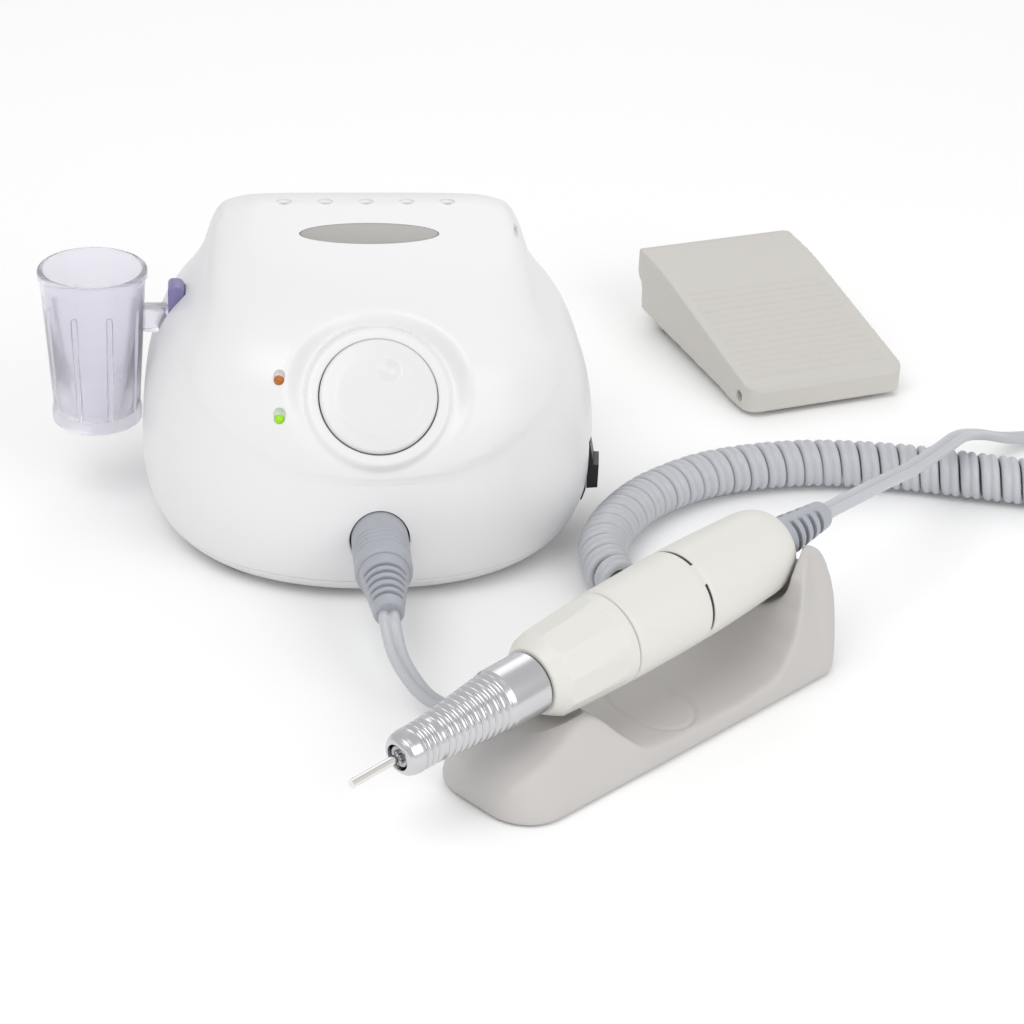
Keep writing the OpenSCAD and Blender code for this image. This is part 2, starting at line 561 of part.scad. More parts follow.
// Height of the tread at y, and of the treadle's underside
function rib_top(y) = ped_hf + 0.4 + (y - ped_f - 2.5) * ped_slope;
function under(y) = ped_hf - 0.6 + (y - ped_f - 13) * (ped_hr - 7.6 - ped_hf) / (ped_l - 43);
module side_cut(w, p) translate([-w / 2, 0, 0]) rotate([90, 0, 90]) linear_extrude(w) polygon(p);
module treadle() color(bone) on_pedal() difference() {
  union() {
    difference() {
      intersection() {
        translate([0, 4, 0]) slab(ped_w, ped_l + 8, 50, 5);
        side_cut(ped_w + 2, [[ped_f, 1.6], [ped_f, ped_hf - 1.2], [ped_f + 1, ped_hf], [ped_f + 2.5,
            ped_hf + 0.4],
          [ped_r - 30, ped_hr - 4.8], [ped_r - 20, ped_hr - 2.6], [ped_r - 11, ped_hr - 1.1],
              [ped_r + 3, ped_hr],
          [ped_r + 6, ped_hr - 0.4], [ped_r + 7.6, ped_hr - 2.2], [ped_r + 7.8, ped_hr - 7.2],
          [ped_r + 1, ped_hr - 11.9], [ped_r, 5.6], [ped_f + 18, 2.4], [ped_f + 14, 1.6]]);
      }
      side_cut(ped_w - 6, [[ped_f + 13, 0], [ped_f + 13, ped_hf - 0.6], [ped_r - 30, ped_hr - 8.2],
        [ped_r - 11, ped_hr - 4.6], [ped_r - 2.8, ped_hr - 4.2], [ped_r - 2.8, 0]]);
    }
    translate([-4, 16.5, switch_z + 0.4]) cube([8, 7, ped_hr - 6 - switch_z]);
  }
  for (k = [0:ped_ribs - 1]) let(y = hinge_y + k * rib_pitch)
    translate([-ped_w / 2 + 4, y, rib_top(y) - 0.5]) rotate([ped_rise, 0, 0]) cube([ped_w - 8, 1.5, 3]);
  translate([-40, hinge_y, hinge_z]) rotate([0, 90, 0]) cylinder(r = 2, h = 80, $fn = 32);
  translate([-20, hinge_y - 4.4, 0]) cube([40, 12, hinge_z + 3.6]);
  translate([-3.4, ped_r - 6, 0]) cube([6.8, 12, gland_z + 7.4]);
}
module pedal_base() color(bone) on_pedal() difference() {
  union() {
    translate([0, 5.2, 1.2]) slab(ped_w - 7, ped_l - 17.2, 2, 3);
    translate([-19.4, hinge_y - 3, 1.2]) cube([38.8, 12, 2]);
    translate([-19.4, hinge_y - 3, 1.2]) cube([38.8, 6, hinge_z + 1.8]);
    translate([-8, ped_r - 8, 3]) cube([16, 4.6, 9]);
    translate([-11, 14.6, 3]) cube([22, 10.8, 2]);
    translate([0, spring_y, 3]) cylinder(r = 3.2, h = 4, $fn = 32);
  }
  translate([-40, hinge_y, hinge_z]) rotate([0, 90, 0]) cylinder(r = 2 + 0.04, h = 80, $fn = 32);
  translate([0, ped_r - 12, gland_z]) rotate([-90, 0, 0]) cylinder(r = 2.2, h = 20, $fn = 32);
  translate([-10, 15, 3]) cube([20, 10, 20]);
}
module hinge_pin() color(steel) on_pedal() translate([-ped_w / 2 + 3, hinge_y, hinge_z]) rotate([0, 90,
    0]) cylinder(r = 2, h = ped_w - 6, $fn = 32);
module pedal_spring() color(steel) on_pedal() translate([0, spring_y, 3.2]) difference() {
  cylinder(r = spring_r, h = under(spring_y - spring_r) - 3.56, $fn = 36);
  translate([0, 0, -1]) cylinder(r = spring_r - 1.1, h = 20, $fn = 36);
}
module pedal_switch() color(dark) on_pedal() difference() {
  translate([-10, 15, 3]) cube([20, 10, switch_z - 6]);
  translate([-2.1, 17.9, 4]) cube([4.2, 4.2, 20]);
}
module switch_plunger() color([0.8, 0.15, 0.1]) on_pedal() translate([-2, 18, switch_z - 5.8]) cube([4,
    4, 5.8]);
module pedal_feet() color(dark) on_pedal() for (x = [-21, 21], y = [ped_f + 22, ped_r - 10])
  translate([x, y, 0]) cylinder(r = 5, h = 1.2, $fn = 36);
module pedal_gland() color(dark) on_pedal() translate([0, ped_r - 3.4, gland_z]) rotate([-90, 0, 0])
    difference() {
  union() { cylinder(r = 2.8, h = 6, $fn = 32); translate([0, 0, -4.4]) cylinder(r = 2.2, h = 5,
      $fn = 32); }
  translate([0, 0, -7]) cylinder(r = 1.6, h = 20, $fn = 32);
}
// Plug and cords
plug_l = 42;
module on_plug() at_box() translate([0, jack_y, jack_z]) rotate([0, 0, -90]) children();
module plug() color(grey) on_plug() difference() {
  union() {
    rod(plug_r, -5.5, 20);
    rod(plug_r - 2.5, -15, -5);
  }
  for (k = [0:4]) tube_cut(6 + 2.6 * k, plug_r - 0.7);
}
module plug_boot() color(grey) on_plug() difference() {
  rev([[0, 20], [plug_r - 1, 20], [plug_r - 1.6, 23], [4.4, plug_l - 1], [4, plug_l], [0, plug_l]], 48);
  for (k = [0:4]) for (s = [-1, 1]) translate([24 + 3.2 * k, -10, s > 0 ? 1.6 : -11.6]) cube([1.5, 20,
      10]);
}
function unit(v) = v / norm(v);
function cr(p, i, t) = let(n = len(p) - 1, a = p[max(0, i - 1)], b = p[i], c = p[min(n, i + 1)],
    d = p[min(n, i + 2)])
  0.5 * ((2 * b) + (c - a) * t + (2 * a - 5 * b + 4 * c - d) * t * t + (3 * b - a - 3 * c + d)
      * t * t * t);
function along(p, k) = concat([for (i = [0:len(p) - 2]) for (j = [0:k - 1]) cr(p, i, j / k)], [p[len(p)
    - 1]]);
function tan_at(q, i) = unit(q[min(len(q) - 1, i + 1)] - q[max(0, i - 1)]);
up = [0, 0, 1];
// Skin over rings of n points, closed at both ends
module skin(rings, n) {
  m = len(rings);
  polyhedron([for (r = rings) each r], concat(
    [for (i = [0:m - 2]) for (k = [0:n - 1]) let(j = (k + 1) % n)
      each [[i * n + k, i * n + j, (i + 1) * n + k], [i * n + j, (i + 1) * n + j, (i + 1) * n + k]]],
    [[for (k = [n - 1:-1:0]) k], [for (k = [0:n - 1]) (m - 1) * n + k]]));
}
function ring(c, s, v, n) = [for (k = [0:n - 1]) let(a = 360 * k / n) c + s * cord_w / 2 * cos(a)
    + v * cord_t / 2 * sin(a)];
// Flat cord through hand-set points
module lead(p, k) {
  q = along(p, k);
  skin([for (i = [0:len(q) - 1]) let(t = tan_at(q, i), s = unit(cross(up, t))) ring(q[i], s, cross(t,
      s), 8)], 8);
}
plug_end = [box_x, box_y + jack_y - plug_l, jack_z];
boot_end = [rest_x + (hp_u + boot_l * cos(hp_rise)) * ca, rest_y + (hp_u + boot_l * cos(hp_rise)) * sa,
  hp_z + boot_l * sin(hp_rise)];
boot_dir = [ca * cos(hp_rise), sa * cos(hp_rise), sin(hp_rise)];
lay_z = coil_r + cord_t / 2 + 0.4;
coil_pts = [[26, -45, lay_z], [24.5, -27, lay_z], [32.5, -9, lay_z], [45.5, 6, lay_z], [66.5, 19,
    lay_z], [95.5, 25, lay_z],
  [125.5, 22, lay_z], [153.5, 14, lay_z], [181.5, 6, lay_z]];
plug_pts = [plug_end, plug_end + [0, -5, 0], [-42, -101, 14.5], [-34.5, -107.5, 6.5], [-23.5, -108,
    2.6], [-8.5, -99, 2.2], [7.5, -83, 2.4],
  [20.5, -68, 4], [25.5, -57, 6.8], [26.4, -50, lay_z], [26, -45, lay_z]];
tail_pts = [boot_end + 0.35 * boot_dir, boot_end + 5 * boot_dir, [100.5, -47, 40], [116.5, -27, 34],
    [131.5, -4, 27], [143.5, 15, 22], [155.5, 32, 14],
  [169.5, 46, 5.5], [183.5, 52, 2.4], [197.5, 47, 2.4], [206.5, 34, 3.4], [206.5, 20, 5.5], [198.5, 9,
      7.4], [186.5, 4.8, lay_z], [181.5, 6, lay_z]];
axis_raw = along(coil_pts, 24);
axis_len = [for (i = 0, s = 0; i < len(axis_raw); s = s + (i + 1 < len(axis_raw)
    ? norm(axis_raw[i + 1] - axis_raw[i]) : 0), i = i + 1) s];
axis_end = axis_len[len(axis_len) - 1];
function axis_at(s) = let(l = lookup_i(s, 0, len(axis_len) - 1),
  t = (s - axis_len[l]) / (axis_len[l + 1] - axis_len[l]))
      axis_raw[l] + (axis_raw[l + 1] - axis_raw[l]) * t;
function lookup_i(s, a, b) = b - a <= 1 ? a : let(m = floor((a + b) / 2))
    s >= axis_len[m] ? lookup_i(s, m, b) : lookup_i(s, a, m);
steps = curls * 8;
lead_in = 3;
function ease(t) = let(u = min(1, max(0, t))) u * u * (3 - 2 * u);
function curl(i) = let(f = i / steps, s = lead_in + (axis_end - 2 * lead_in) * f, c = axis_at(s),
  t = unit(axis_at(min(axis_end, s + 0.5)) - axis_at(max(0, s - 0.5))), sd = unit(cross(up, t)),
      n = cross(t, sd), a = 90 + 45 * i,
  r = coil_r * ease(min(i, steps - i) / 9)) [c + r * (sd * cos(a) + n * sin(a)), sd * cos(a)
      + n * sin(a)];
curl_c = concat([axis_at(0)], [for (i = [0:steps]) curl(i)[0]], [axis_at(axis_end)]);
curl_e = concat([up], [for (i = [0:steps]) curl(i)[1]], [up]);
module curly_cord() color(grey) skin([for (i = [0:len(curl_c) - 1]) let(t = tan_at(curl_c, i),
    e0 = curl_e[i],
  e = unit(e0 - t * (e0 * t))) ring(curl_c[i], cross(e, t), e, 6)], 6);
module plug_lead() color(grey) lead(plug_pts, 4);
module tail_lead() color(grey) lead(tail_pts, 4);

housing();
base();
box_feet();
emblem();
bur_rack();
speed_knob();
knob_shaft();
speed_control();
led_amber();
led_green();
jack();
power_frame();
power_rocker();
transformer();
circuit_board();
rear_panel();
mains_inlet();
fuse_holder();
pedal_jack();
box_screws();
cup();
cup_clip();
nose_cone();
lock_sleeve();
motor_case();
slit_ring();
rear_cap();
tail_boot();
spindle();
front_bearing();
inner_bearing();
middle_bearing();
rear_bearing();
collet();
test_pin();
coupling();
armature();
magnets();
brush_holder();
brush_left();
brush_right();
handpiece_rest();
plug();
plug_boot();
plug_lead();
curly_cord();
tail_lead();
treadle();
pedal_base();
hinge_pin();
pedal_spring();
pedal_switch();
switch_plunger();
pedal_feet();
pedal_gland();
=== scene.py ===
import math

import bmesh
import bpy
import numpy as np
from mathutils import Matrix, Vector


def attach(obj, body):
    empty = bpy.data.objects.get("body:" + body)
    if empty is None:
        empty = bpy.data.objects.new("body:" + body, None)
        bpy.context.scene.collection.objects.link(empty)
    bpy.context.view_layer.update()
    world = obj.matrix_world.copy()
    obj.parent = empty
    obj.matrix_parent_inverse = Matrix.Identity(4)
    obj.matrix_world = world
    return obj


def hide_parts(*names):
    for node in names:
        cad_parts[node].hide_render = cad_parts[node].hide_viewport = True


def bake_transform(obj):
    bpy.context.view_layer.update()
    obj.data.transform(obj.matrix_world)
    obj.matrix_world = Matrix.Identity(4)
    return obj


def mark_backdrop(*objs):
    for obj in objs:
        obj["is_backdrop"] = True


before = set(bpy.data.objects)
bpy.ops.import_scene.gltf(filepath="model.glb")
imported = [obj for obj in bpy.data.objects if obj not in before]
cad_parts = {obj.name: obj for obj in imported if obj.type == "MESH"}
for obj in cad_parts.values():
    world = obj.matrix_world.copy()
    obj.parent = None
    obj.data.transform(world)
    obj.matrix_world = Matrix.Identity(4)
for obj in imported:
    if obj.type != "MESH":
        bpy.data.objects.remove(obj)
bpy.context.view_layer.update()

# Sizes are in millimetres here and turn into metres where a mesh is made
MM = 0.001


def move(x, y, z):
    return Matrix.Translation((x, y, z))


def turn(degrees, axis):
    return Matrix.Rotation(math.radians(degrees), 4, axis)


# Frames of the object, in millimetres
X_TO_Z = turn(-90, "Y")
BOX = move(-44.5, 15, 0)
KNOB_TILT = 41
KNOB = BOX @ move(0, -43.1, 58.3) @ turn(90 - KNOB_TILT, "X")
JACK_Z = 22
PLUG = BOX @ move(0, -62, JACK_Z) @ turn(-90, "Z")
REST_AT = (24.9, -109.2)
REST_YAW = 38.5
HP_ALONG = 9.75
HP_RISE = 4
HP_Z = 34.4
REST = move(*REST_AT, 0) @ turn(REST_YAW, "Z")
HAND = REST @ move(HP_ALONG, 0, HP_Z) @ turn(-HP_RISE, "Y")


# Curves


def ease(t):
    t = np.clip(t, 0, 1)
    return t * t * (3 - 2 * t)


def fade(value, start, end):
    """0 at start, 1 at end and smooth between them."""
    return ease((value - start) / (end - start))


def arc(cx, cr, radius, start, end, steps=8):
    """Points (x, radius) of an arc in a turned outline, angles in degrees from the x axis."""
    angles = np.radians(np.linspace(start, end, steps + 1))
    return [(cx + radius * math.cos(a), cr + radius * math.sin(a)) for a in angles]


def unit(v):
    return v / np.linalg.norm(v)


# Mesh helpers

# Points closer than this, in metres, are one: in a new mesh, and after booleans
SAME_POINT = 1e-7
SLIVER = 2e-6
BEVEL_ANGLE = 35


def paint(obj, material):
    obj.data.materials.clear()
    obj.data.materials.append(material)
    return obj


def add_object(name, mesh, material):
    obj = bpy.data.objects.new(name, mesh)
    bpy.context.scene.collection.objects.link(obj)
    return paint(obj, material) if material else obj


def shade(obj, angle=38):
    for polygon in obj.data.polygons:
        polygon.use_smooth = True
    obj.data.set_sharp_from_angle(angle=math.radians(angle))
    return obj


def from_points(name, points, faces, at, material=None):
    """Mesh object from points in millimetres in the frame at."""
    world = [MM * (at @ Vector(p)) for p in points]
    mesh = bpy.data.meshes.new(name)
    mesh.from_pydata(world, [], faces)
    work = bmesh.new()
    work.from_mesh(mesh)
    bmesh.ops.remove_doubles(work, verts=work.verts, dist=SAME_POINT)
    bmesh.ops.recalc_face_normals(work, faces=work.faces)
    work.to_mesh(mesh)
    work.free()
    return add_object(name, mesh, material)


def turned(name, profile, at, material=None, steps=96, shape=None):
    """Body turned about the frame's x axis from a closed outline of (x, radius)."""
    count = len(profile)
    points = []
    for k in range(steps):
        a = 2 * math.pi * k / steps
        for x, r in profile:
            radius = shape(a, x, r) if shape else r
            points.append((x, radius * math.cos(a), radius * math.sin(a)))
    faces = []
    for k in range(steps):
        k2 = (k + 1) % steps
        for i in range(count):
            j = (i + 1) % count
            if profile[i][1] or profile[j][1]:
                faces.append((k * count + i, k2 * count + i, k2 * count + j, k * count + j))
    return from_points(name, points, faces, at, material)


def ring_faces(rings, steps):
    """Faces of a stack of closed rings of points, with a cap at each end."""
    total = rings * steps
    faces = [tuple(range(steps - 1, -1, -1)), tuple(range(total - steps, total))]
    for a in range(0, total - steps, steps):
        for k in range(steps):
            j = (k + 1) % steps
            faces.append((a + k, a + j, a + steps + j, a + steps + k))
    return faces


def block(name, low, high, at, material=None):
    corners = [(x, y, z) for x in (low[0], high[0]) for y in (low[1], high[1]) for z in (low[2], high[2])]
    faces = [(0, 1, 3, 2), (4, 6, 7, 5), (0, 4, 5, 1), (2, 3, 7, 6), (0, 2, 6, 4), (1, 5, 7, 3)]
    return from_points(name, corners, faces, at, material)


def prism(name, outline, low, high, at, material=None):
    """Outline of (x, z) drawn out along the frame's y axis."""
    points = [(x, y, z) for y in (low, high) for x, z in outline]
    return from_points(name, points, ring_faces(2, len(outline)), at, material)


def settle(obj):
    """Applies the object's modifiers to its mesh."""
    bpy.context.view_layer.update()
    graph = bpy.context.evaluated_depsgraph_get()
    mesh = bpy.data.meshes.new_from_object(obj.evaluated_get(graph))
    old = obj.data
    obj.modifiers.clear()
    obj.data = mesh
    bpy.data.meshes.remove(old)
    return obj


def combine(obj, other, operation):
    """Boolean of two objects; the other one is used up."""
    modifier = obj.modifiers.new("join", "BOOLEAN")
    modifier.operation = operation
    modifier.solver = "EXACT"
    modifier.object = other
    settle(obj)
    mesh = other.data
    bpy.data.objects.remove(other)
    bpy.data.meshes.remove(mesh)
    return obj


def cut(obj, *others):
    for other in others:
        combine(obj, other, "DIFFERENCE")
    return obj


def fuse(obj, *others):
    for other in others:
        combine(obj, other, "UNION")
    return obj


def clean(obj):
    """Merges the slivers that booleans leave."""
    work = bmesh.new()
    work.from_mesh(obj.data)
    bmesh.ops.remove_doubles(work, verts=work.verts, dist=SLIVER)
    bmesh.ops.dissolve_degenerate(work, edges=work.edges, dist=SLIVER)
    work.to_mesh(obj.data)
    work.free()
    return obj


def soften(obj, voxel, rounds):
    """Even skin of small faces with the edges worn round, as a moulding has."""
    modifier = obj.modifiers.new("skin", "REMESH")
    modifier.mode = "VOXEL"
    modifier.voxel_size = voxel * MM
    modifier.adaptivity = 0
    smooth = obj.modifiers.new("soft", "SMOOTH")
    smooth.factor = 0.5
    smooth.iterations = rounds
    return settle(obj)


def reshape(obj, frame_at, change):
    """Moves an object's points by a rule written in the millimetres of a frame."""
    flat = np.empty(3 * len(obj.data.vertices))
    obj.data.vertices.foreach_get("co", flat)
    at = np.array(frame_at)
    points = (flat.reshape(-1, 3) / MM - at[:3, 3]) @ at[:3, :3]
    points = change(points) @ at[:3, :3].T + at[:3, 3]
    obj.data.vertices.foreach_set("co", (points * MM).ravel())
    obj.data.update()
    return obj


def frame_node(node):
    return bpy.data.objects[node]


def copy_of(node):
    """New object with a copy of a node's mesh."""
    return add_object(f"{node}_piece", frame_node(node).data.copy(), None)


def moulded(node, voxel, rounds, material):
    """Copy of a node's solid with the edges worn round."""
    return paint(soften(copy_of(node), voxel, rounds), material)


def add_bevel(obj, width, segments=3):
    modifier = obj.modifiers.new("edges", "BEVEL")
    modifier.width = width * MM
    modifier.segments = segments
    modifier.limit_method = "ANGLE"
    modifier.angle_limit = math.radians(BEVEL_ANGLE)
    return obj


def place(obj, body, slot, *nodes):
    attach(obj, body)
    if nodes:
        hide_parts(*nodes)
    return obj


# Materials

COAT_ROUGHNESS = 0.12
GRAIN_DETAIL = 3
GRAIN_STRENGTH = 0.35
# Turned rings: count per metre, strength and height in millimetres
RING_SCALE = 4200
RING_STRENGTH = 0.12
RING_HIGH = 0.02


def linear(rgb):
    def one(c):
        c = c / 255
        return c / 12.92 if c <= 0.04045 else ((c + 0.055) / 1.055) ** 2.4

    return (one(rgb[0]), one(rgb[1]), one(rgb[2]), 1)


def surface(name, rgb, roughness, metallic=0, grain=None, coat=0):
    """Shader with a fine procedural grain: (scale per metre, height in millimetres)."""
    material = bpy.data.materials.new(name)
    material.use_nodes = True
    nodes = material.node_tree.nodes
    links = material.node_tree.links
    shader = nodes["Principled BSDF"]
    shader.inputs["Base Color"].default_value = linear(rgb)
    shader.inputs["Roughness"].default_value = roughness
    shader.inputs["Metallic"].default_value = metallic
    shader.inputs["Coat Weight"].default_value = coat
    shader.inputs["Coat Roughness"].default_value = COAT_ROUGHNESS
    if grain:
        coords = nodes.new("ShaderNodeTexCoord")
        noise = nodes.new("ShaderNodeTexNoise")
        noise.inputs["Scale"].default_value = grain[0]
        noise.inputs["Detail"].default_value = GRAIN_DETAIL
        bump = nodes.new("ShaderNodeBump")
        bump.inputs["Strength"].default_value = GRAIN_STRENGTH
        bump.inputs["Distance"].default_value = grain[1] * MM
        links.new(coords.outputs["Object"], noise.inputs["Vector"])
        links.new(noise.outputs["Fac"], bump.inputs["Height"])
        links.new(bump.outputs["Normal"], shader.inputs["Normal"])
    return material


def turned_metal(name, rgb, roughness):
    """Lathe-turned metal: fine rings along the handpiece, from noise along its axis."""
    material = surface(name, rgb, roughness, metallic=1)
    nodes = material.node_tree.nodes
    links = material.node_tree.links
    shader = nodes["Principled BSDF"]
    shader.inputs["Anisotropic"].default_value = 0.4
    coords = nodes.new("ShaderNodeTexCoord")
    mapping = nodes.new("ShaderNodeMapping")
    mapping.vector_type = "TEXTURE"
    mapping.inputs["Rotation"].default_value = (0, math.radians(-HP_RISE), math.radians(REST_YAW))
    noise = nodes.new("ShaderNodeTexNoise")
    noise.noise_dimensions = "1D"
    noise.inputs["Scale"].default_value = RING_SCALE
    split = nodes.new("ShaderNodeSeparateXYZ")
    bump = nodes.new("ShaderNodeBump")
    bump.inputs["Strength"].default_value = RING_STRENGTH
    bump.inputs["Distance"].default_value = RING_HIGH * MM
    links.new(coords.outputs["Object"], mapping.inputs["Vector"])
    links.new(mapping.outputs["Vector"], split.inputs["Vector"])
    links.new(split.outputs["X"], noise.inputs["W"])
    links.new(noise.outputs["Fac"], bump.inputs["Height"])
    links.new(bump.outputs["Normal"], shader.inputs["Normal"])
    return material


def clear_plastic(name, rgb, roughness):
    material = surface(name, rgb, roughness)
    shader = material.node_tree.nodes["Principled BSDF"]
    shader.inputs["Transmission Weight"].default_value = 0.85
    shader.inputs["IOR"].default_value = 1.35
    return material


def lens(name, rgb, glow):
    material = surface(name, rgb, 0.2, coat=0.2)
    shader = material.node_tree.nodes["Principled BSDF"]
    shader.inputs["Emission Color"].default_value = linear(rgb)
    shader.inputs["Emission Strength"].default_value = glow
    return material


WHITE = surface("white shell", (227, 227, 228), 0.36, grain=(900, 0.02), coat=0.1)
KNOB_WHITE = surface("knob white", (222, 222, 223), 0.34, grain=(1400, 0.015), coat=0.1)
IVORY = surface("ivory plastic", (216, 215, 209), 0.42, grain=(1500, 0.02))
BONE = surface("bone plastic", (199, 196, 190), 0.5, grain=(1400, 0.03))
REST_GREY = surface("rest rubber", (192, 189, 187), 0.72, grain=(1800, 0.05))
CORD_GREY = surface("grey cord", (186, 188, 193), 0.32, grain=(1800, 0.015))
PLUG_GREY = surface("plug grey", (164, 167, 174), 0.38, grain=(1800, 0.015))
BLACK = surface("black plastic", (36, 36, 38), 0.4, grain=(1600, 0.02))
BLACK_RUBBER = surface("black rubber", (30, 30, 31), 0.8, grain=(2000, 0.05))
CUP_CLEAR = clear_plastic("clear cup", (244, 243, 250), 0.16)
PURPLE = surface("purple clip", (124, 119, 166), 0.3, grain=(1500, 0.01))
BADGE = surface("badge grey", (162, 160, 156), 0.35, metallic=0.2, grain=(2600, 0.02))
AMBER = lens("amber lens", (176, 98, 0), 0.03)
GREEN = lens("green lens", (150, 214, 0), 0.07)
ALUMINIUM = turned_metal("turned aluminium", (206, 206, 209), 0.24)
STEEL = surface("steel", (176, 177, 180), 0.28, metallic=1, grain=(3000, 0.01))
IRON = surface("iron", (92, 90, 88), 0.55, metallic=0.7, grain=(900, 0.05))
BOARD = surface("circuit board", (34, 102, 66), 0.45, grain=(1200, 0.02))
COPPER = surface("copper winding", (176, 116, 76), 0.4, metallic=0.8, grain=(2600, 0.06))
PHENOLIC = surface("phenolic", (92, 66, 48), 0.55, grain=(1500, 0.02))
PIN_STEEL = surface("bright steel", (232, 229, 226), 0.18, metallic=1, grain=(3000, 0.01))
RED = surface("red plastic", (176, 44, 36), 0.4, grain=(1500, 0.02))


# Camera and light, from the photograph's viewing angle

CAMERA_TARGET = Vector((0.7, 9.2, 0))
CAMERA_FAR = 815
CAMERA_AZIMUTH = -7.3
CAMERA_PITCH = 28.44
CAMERA_ROLL = 2.73
FRAME_PIXELS = 1024
FOCAL_PIXELS = 2600
SENSOR = 36
DOME_STRENGTH = 0.72
# Floor: half its side and its drop below the feet, in metres
FLOOR_HALF = 6
FLOOR_DOWN = 0.0004
# Lamps: place, aim, size and watts, in metres
LAMPS = {
    "key": ((-0.5, -0.6, 1.2), (0, 0, 0.03), 0.9, 5.2),
    "front": ((0.75, -1.0, 0.75), (0, 0, 0.03), 1.0, 5.2),
    "back": ((0.2, 1.0, 0.9), (0, 0, 0.05), 0.8, 1.6),
}


def add_camera():
    data = bpy.data.cameras.new("camera")
    data.sensor_width = SENSOR
    data.lens = SENSOR * FOCAL_PIXELS / FRAME_PIXELS
    data.clip_start = 0.05
    data.clip_end = 20
    camera = bpy.data.objects.new("camera", data)
    bpy.context.scene.collection.objects.link(camera)
    aim = turn(CAMERA_AZIMUTH, "Z") @ turn(90 - CAMERA_PITCH, "X") @ turn(CAMERA_ROLL, "Z")
    forward = aim @ Vector((0, 0, -1))
    spot = (CAMERA_TARGET - CAMERA_FAR * forward) * MM
    camera.matrix_world = Matrix.Translation(spot) @ aim
    bpy.context.scene.camera = camera
    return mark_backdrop(camera)


def lamp(name, spot, aim_at, size, watts):
    data = bpy.data.lights.new(name, "AREA")
    data.shape = "DISK"
    data.size = size
    data.energy = watts
    obj = bpy.data.objects.new(name, data)
    bpy.context.scene.collection.objects.link(obj)
    obj.location = spot
    obj.rotation_euler = (Vector(aim_at) - Vector(spot)).to_track_quat("-Z", "Y").to_euler()


def white_to_camera(nodes, links):
    """1 for rays that show the background: from the camera or through a clear piece."""
    path = nodes.new("ShaderNodeLightPath")
    either = nodes.new("ShaderNodeMath")
    either.operation = "MAXIMUM"
    links.new(path.outputs["Is Camera Ray"], either.inputs[0])
    links.new(path.outputs["Is Transmission Ray"], either.inputs[1])
    return either.outputs["Value"]


def add_world():
    world = bpy.data.worlds.new("studio")
    bpy.context.scene.world = world
    world.use_nodes = True
    nodes = world.node_tree.nodes
    links = world.node_tree.links
    light = nodes["Background"]
    light.inputs["Color"].default_value = (1, 1, 1, 1)
    light.inputs["Strength"].default_value = DOME_STRENGTH
    shown = nodes.new("ShaderNodeBackground")
    shown.inputs["Color"].default_value = (1, 1, 1, 1)
    shown.inputs["Strength"].default_value = 1
    mix = nodes.new("ShaderNodeMixShader")
    links.new(white_to_camera(nodes, links), mix.inputs["Fac"])
    links.new(light.outputs["Background"], mix.inputs[1])
    links.new(shown.outputs["Background"], mix.inputs[2])
    links.new(mix.outputs["Shader"], nodes["World Output"].inputs["Surface"])


def add_floor():
    mesh = bpy.data.meshes.new("floor")
    corners = [(FLOOR_HALF * x, FLOOR_HALF * y, 0) for x, y in ((-1, -1), (1, -1), (1, 1), (-1, 1))]
    mesh.from_pydata(corners, [], [(0, 1, 2, 3)])
    floor = add_object("floor", mesh, surface("floor white", (252, 252, 252), 0.9))
    floor.location.z = -FLOOR_DOWN


def add_light():
    add_world()
    add_floor()
    for name, values in LAMPS.items():
        lamp(name, *values)
    bpy.context.scene.view_settings.view_transform = "Standard"


# Cords

CORD_W = 5.9
LOBE_R = 1.52
COIL_R = 6
CURLS = 32
LAY_Z = 7.9
LEAD_IN = 3
# Turns over which the coil opens, and steps of its turns, of its line and of the leads
OPEN_TURNS = 9 / 8
TURN_STEPS = 28
AXIS_STEPS = 24
LEAD_STEPS = 10
LOBE_STEPS = 24
# Leads leave the plug and the boot straight; the tail lead starts just clear of its boot
STRAIGHT = 5
TAIL_GAP = 0.35
PLUG_END = (-44.5, -89, JACK_Z)
COIL_POINTS = [
    (27, -57), (23.5, -42), (24.5, -26), (32.5, -9), (45.5, 6),
    (66.5, 19), (95.5, 25), (125.5, 22), (153.5, 14), (181.5, 6),
]
PLUG_POINTS = [
    (-42, -101, 14.5), (-34.5, -107.5, 6.5), (-23.5, -108, 2.6), (-8.5, -99, 2.2), (7.5, -85, 2.4),
    (18.5, -74, 4.2), (24, -66, 6.8), (26.4, -61, LAY_Z), (27, -57, LAY_Z),
]
TAIL_POINTS = [
    (100.5, -47, 38), (116.5, -27, 33), (131.5, -4, 27), (143.5, 15, 22), (155.5, 32, 14),
    (169.5, 46, 5.5), (183.5, 52, 2.4), (197.5, 47, 2.4), (206.5, 34, 3.4),
    (206.5, 20, 5.5), (198.5, 9, 7.4), (186.5, 4.8, LAY_Z), (181.5, 6, LAY_Z),
]
BOOT_LONG = 61
UP = np.array((0, 0, 1.0))


def through(points, steps):
    """Smooth line through listed points."""
    p = [np.array(q, float) for q in points]
    line = []
    for i in range(len(p) - 1):
        a, b, c, d = p[max(0, i - 1)], p[i], p[i + 1], p[min(len(p) - 1, i + 2)]
        for k in range(steps):
            t = k / steps
            cubic = (3 * b - a - 3 * c + d) * t**3
            line.append(0.5 * (2 * b + (c - a) * t + (2 * a - 5 * b + 4 * c - d) * t * t + cubic))
    line.append(p[-1])
    return np.array(line)


def lead_rings(line):
    """Each point of a lead with the direction in which its flat side faces."""
    outs = []
    for i in range(len(line)):
        along = unit(line[min(i + 1, len(line) - 1)] - line[max(i - 1, 0)])
        side = unit(np.cross(UP, along))
        outs.append(np.cross(along, side))
    return list(line), outs


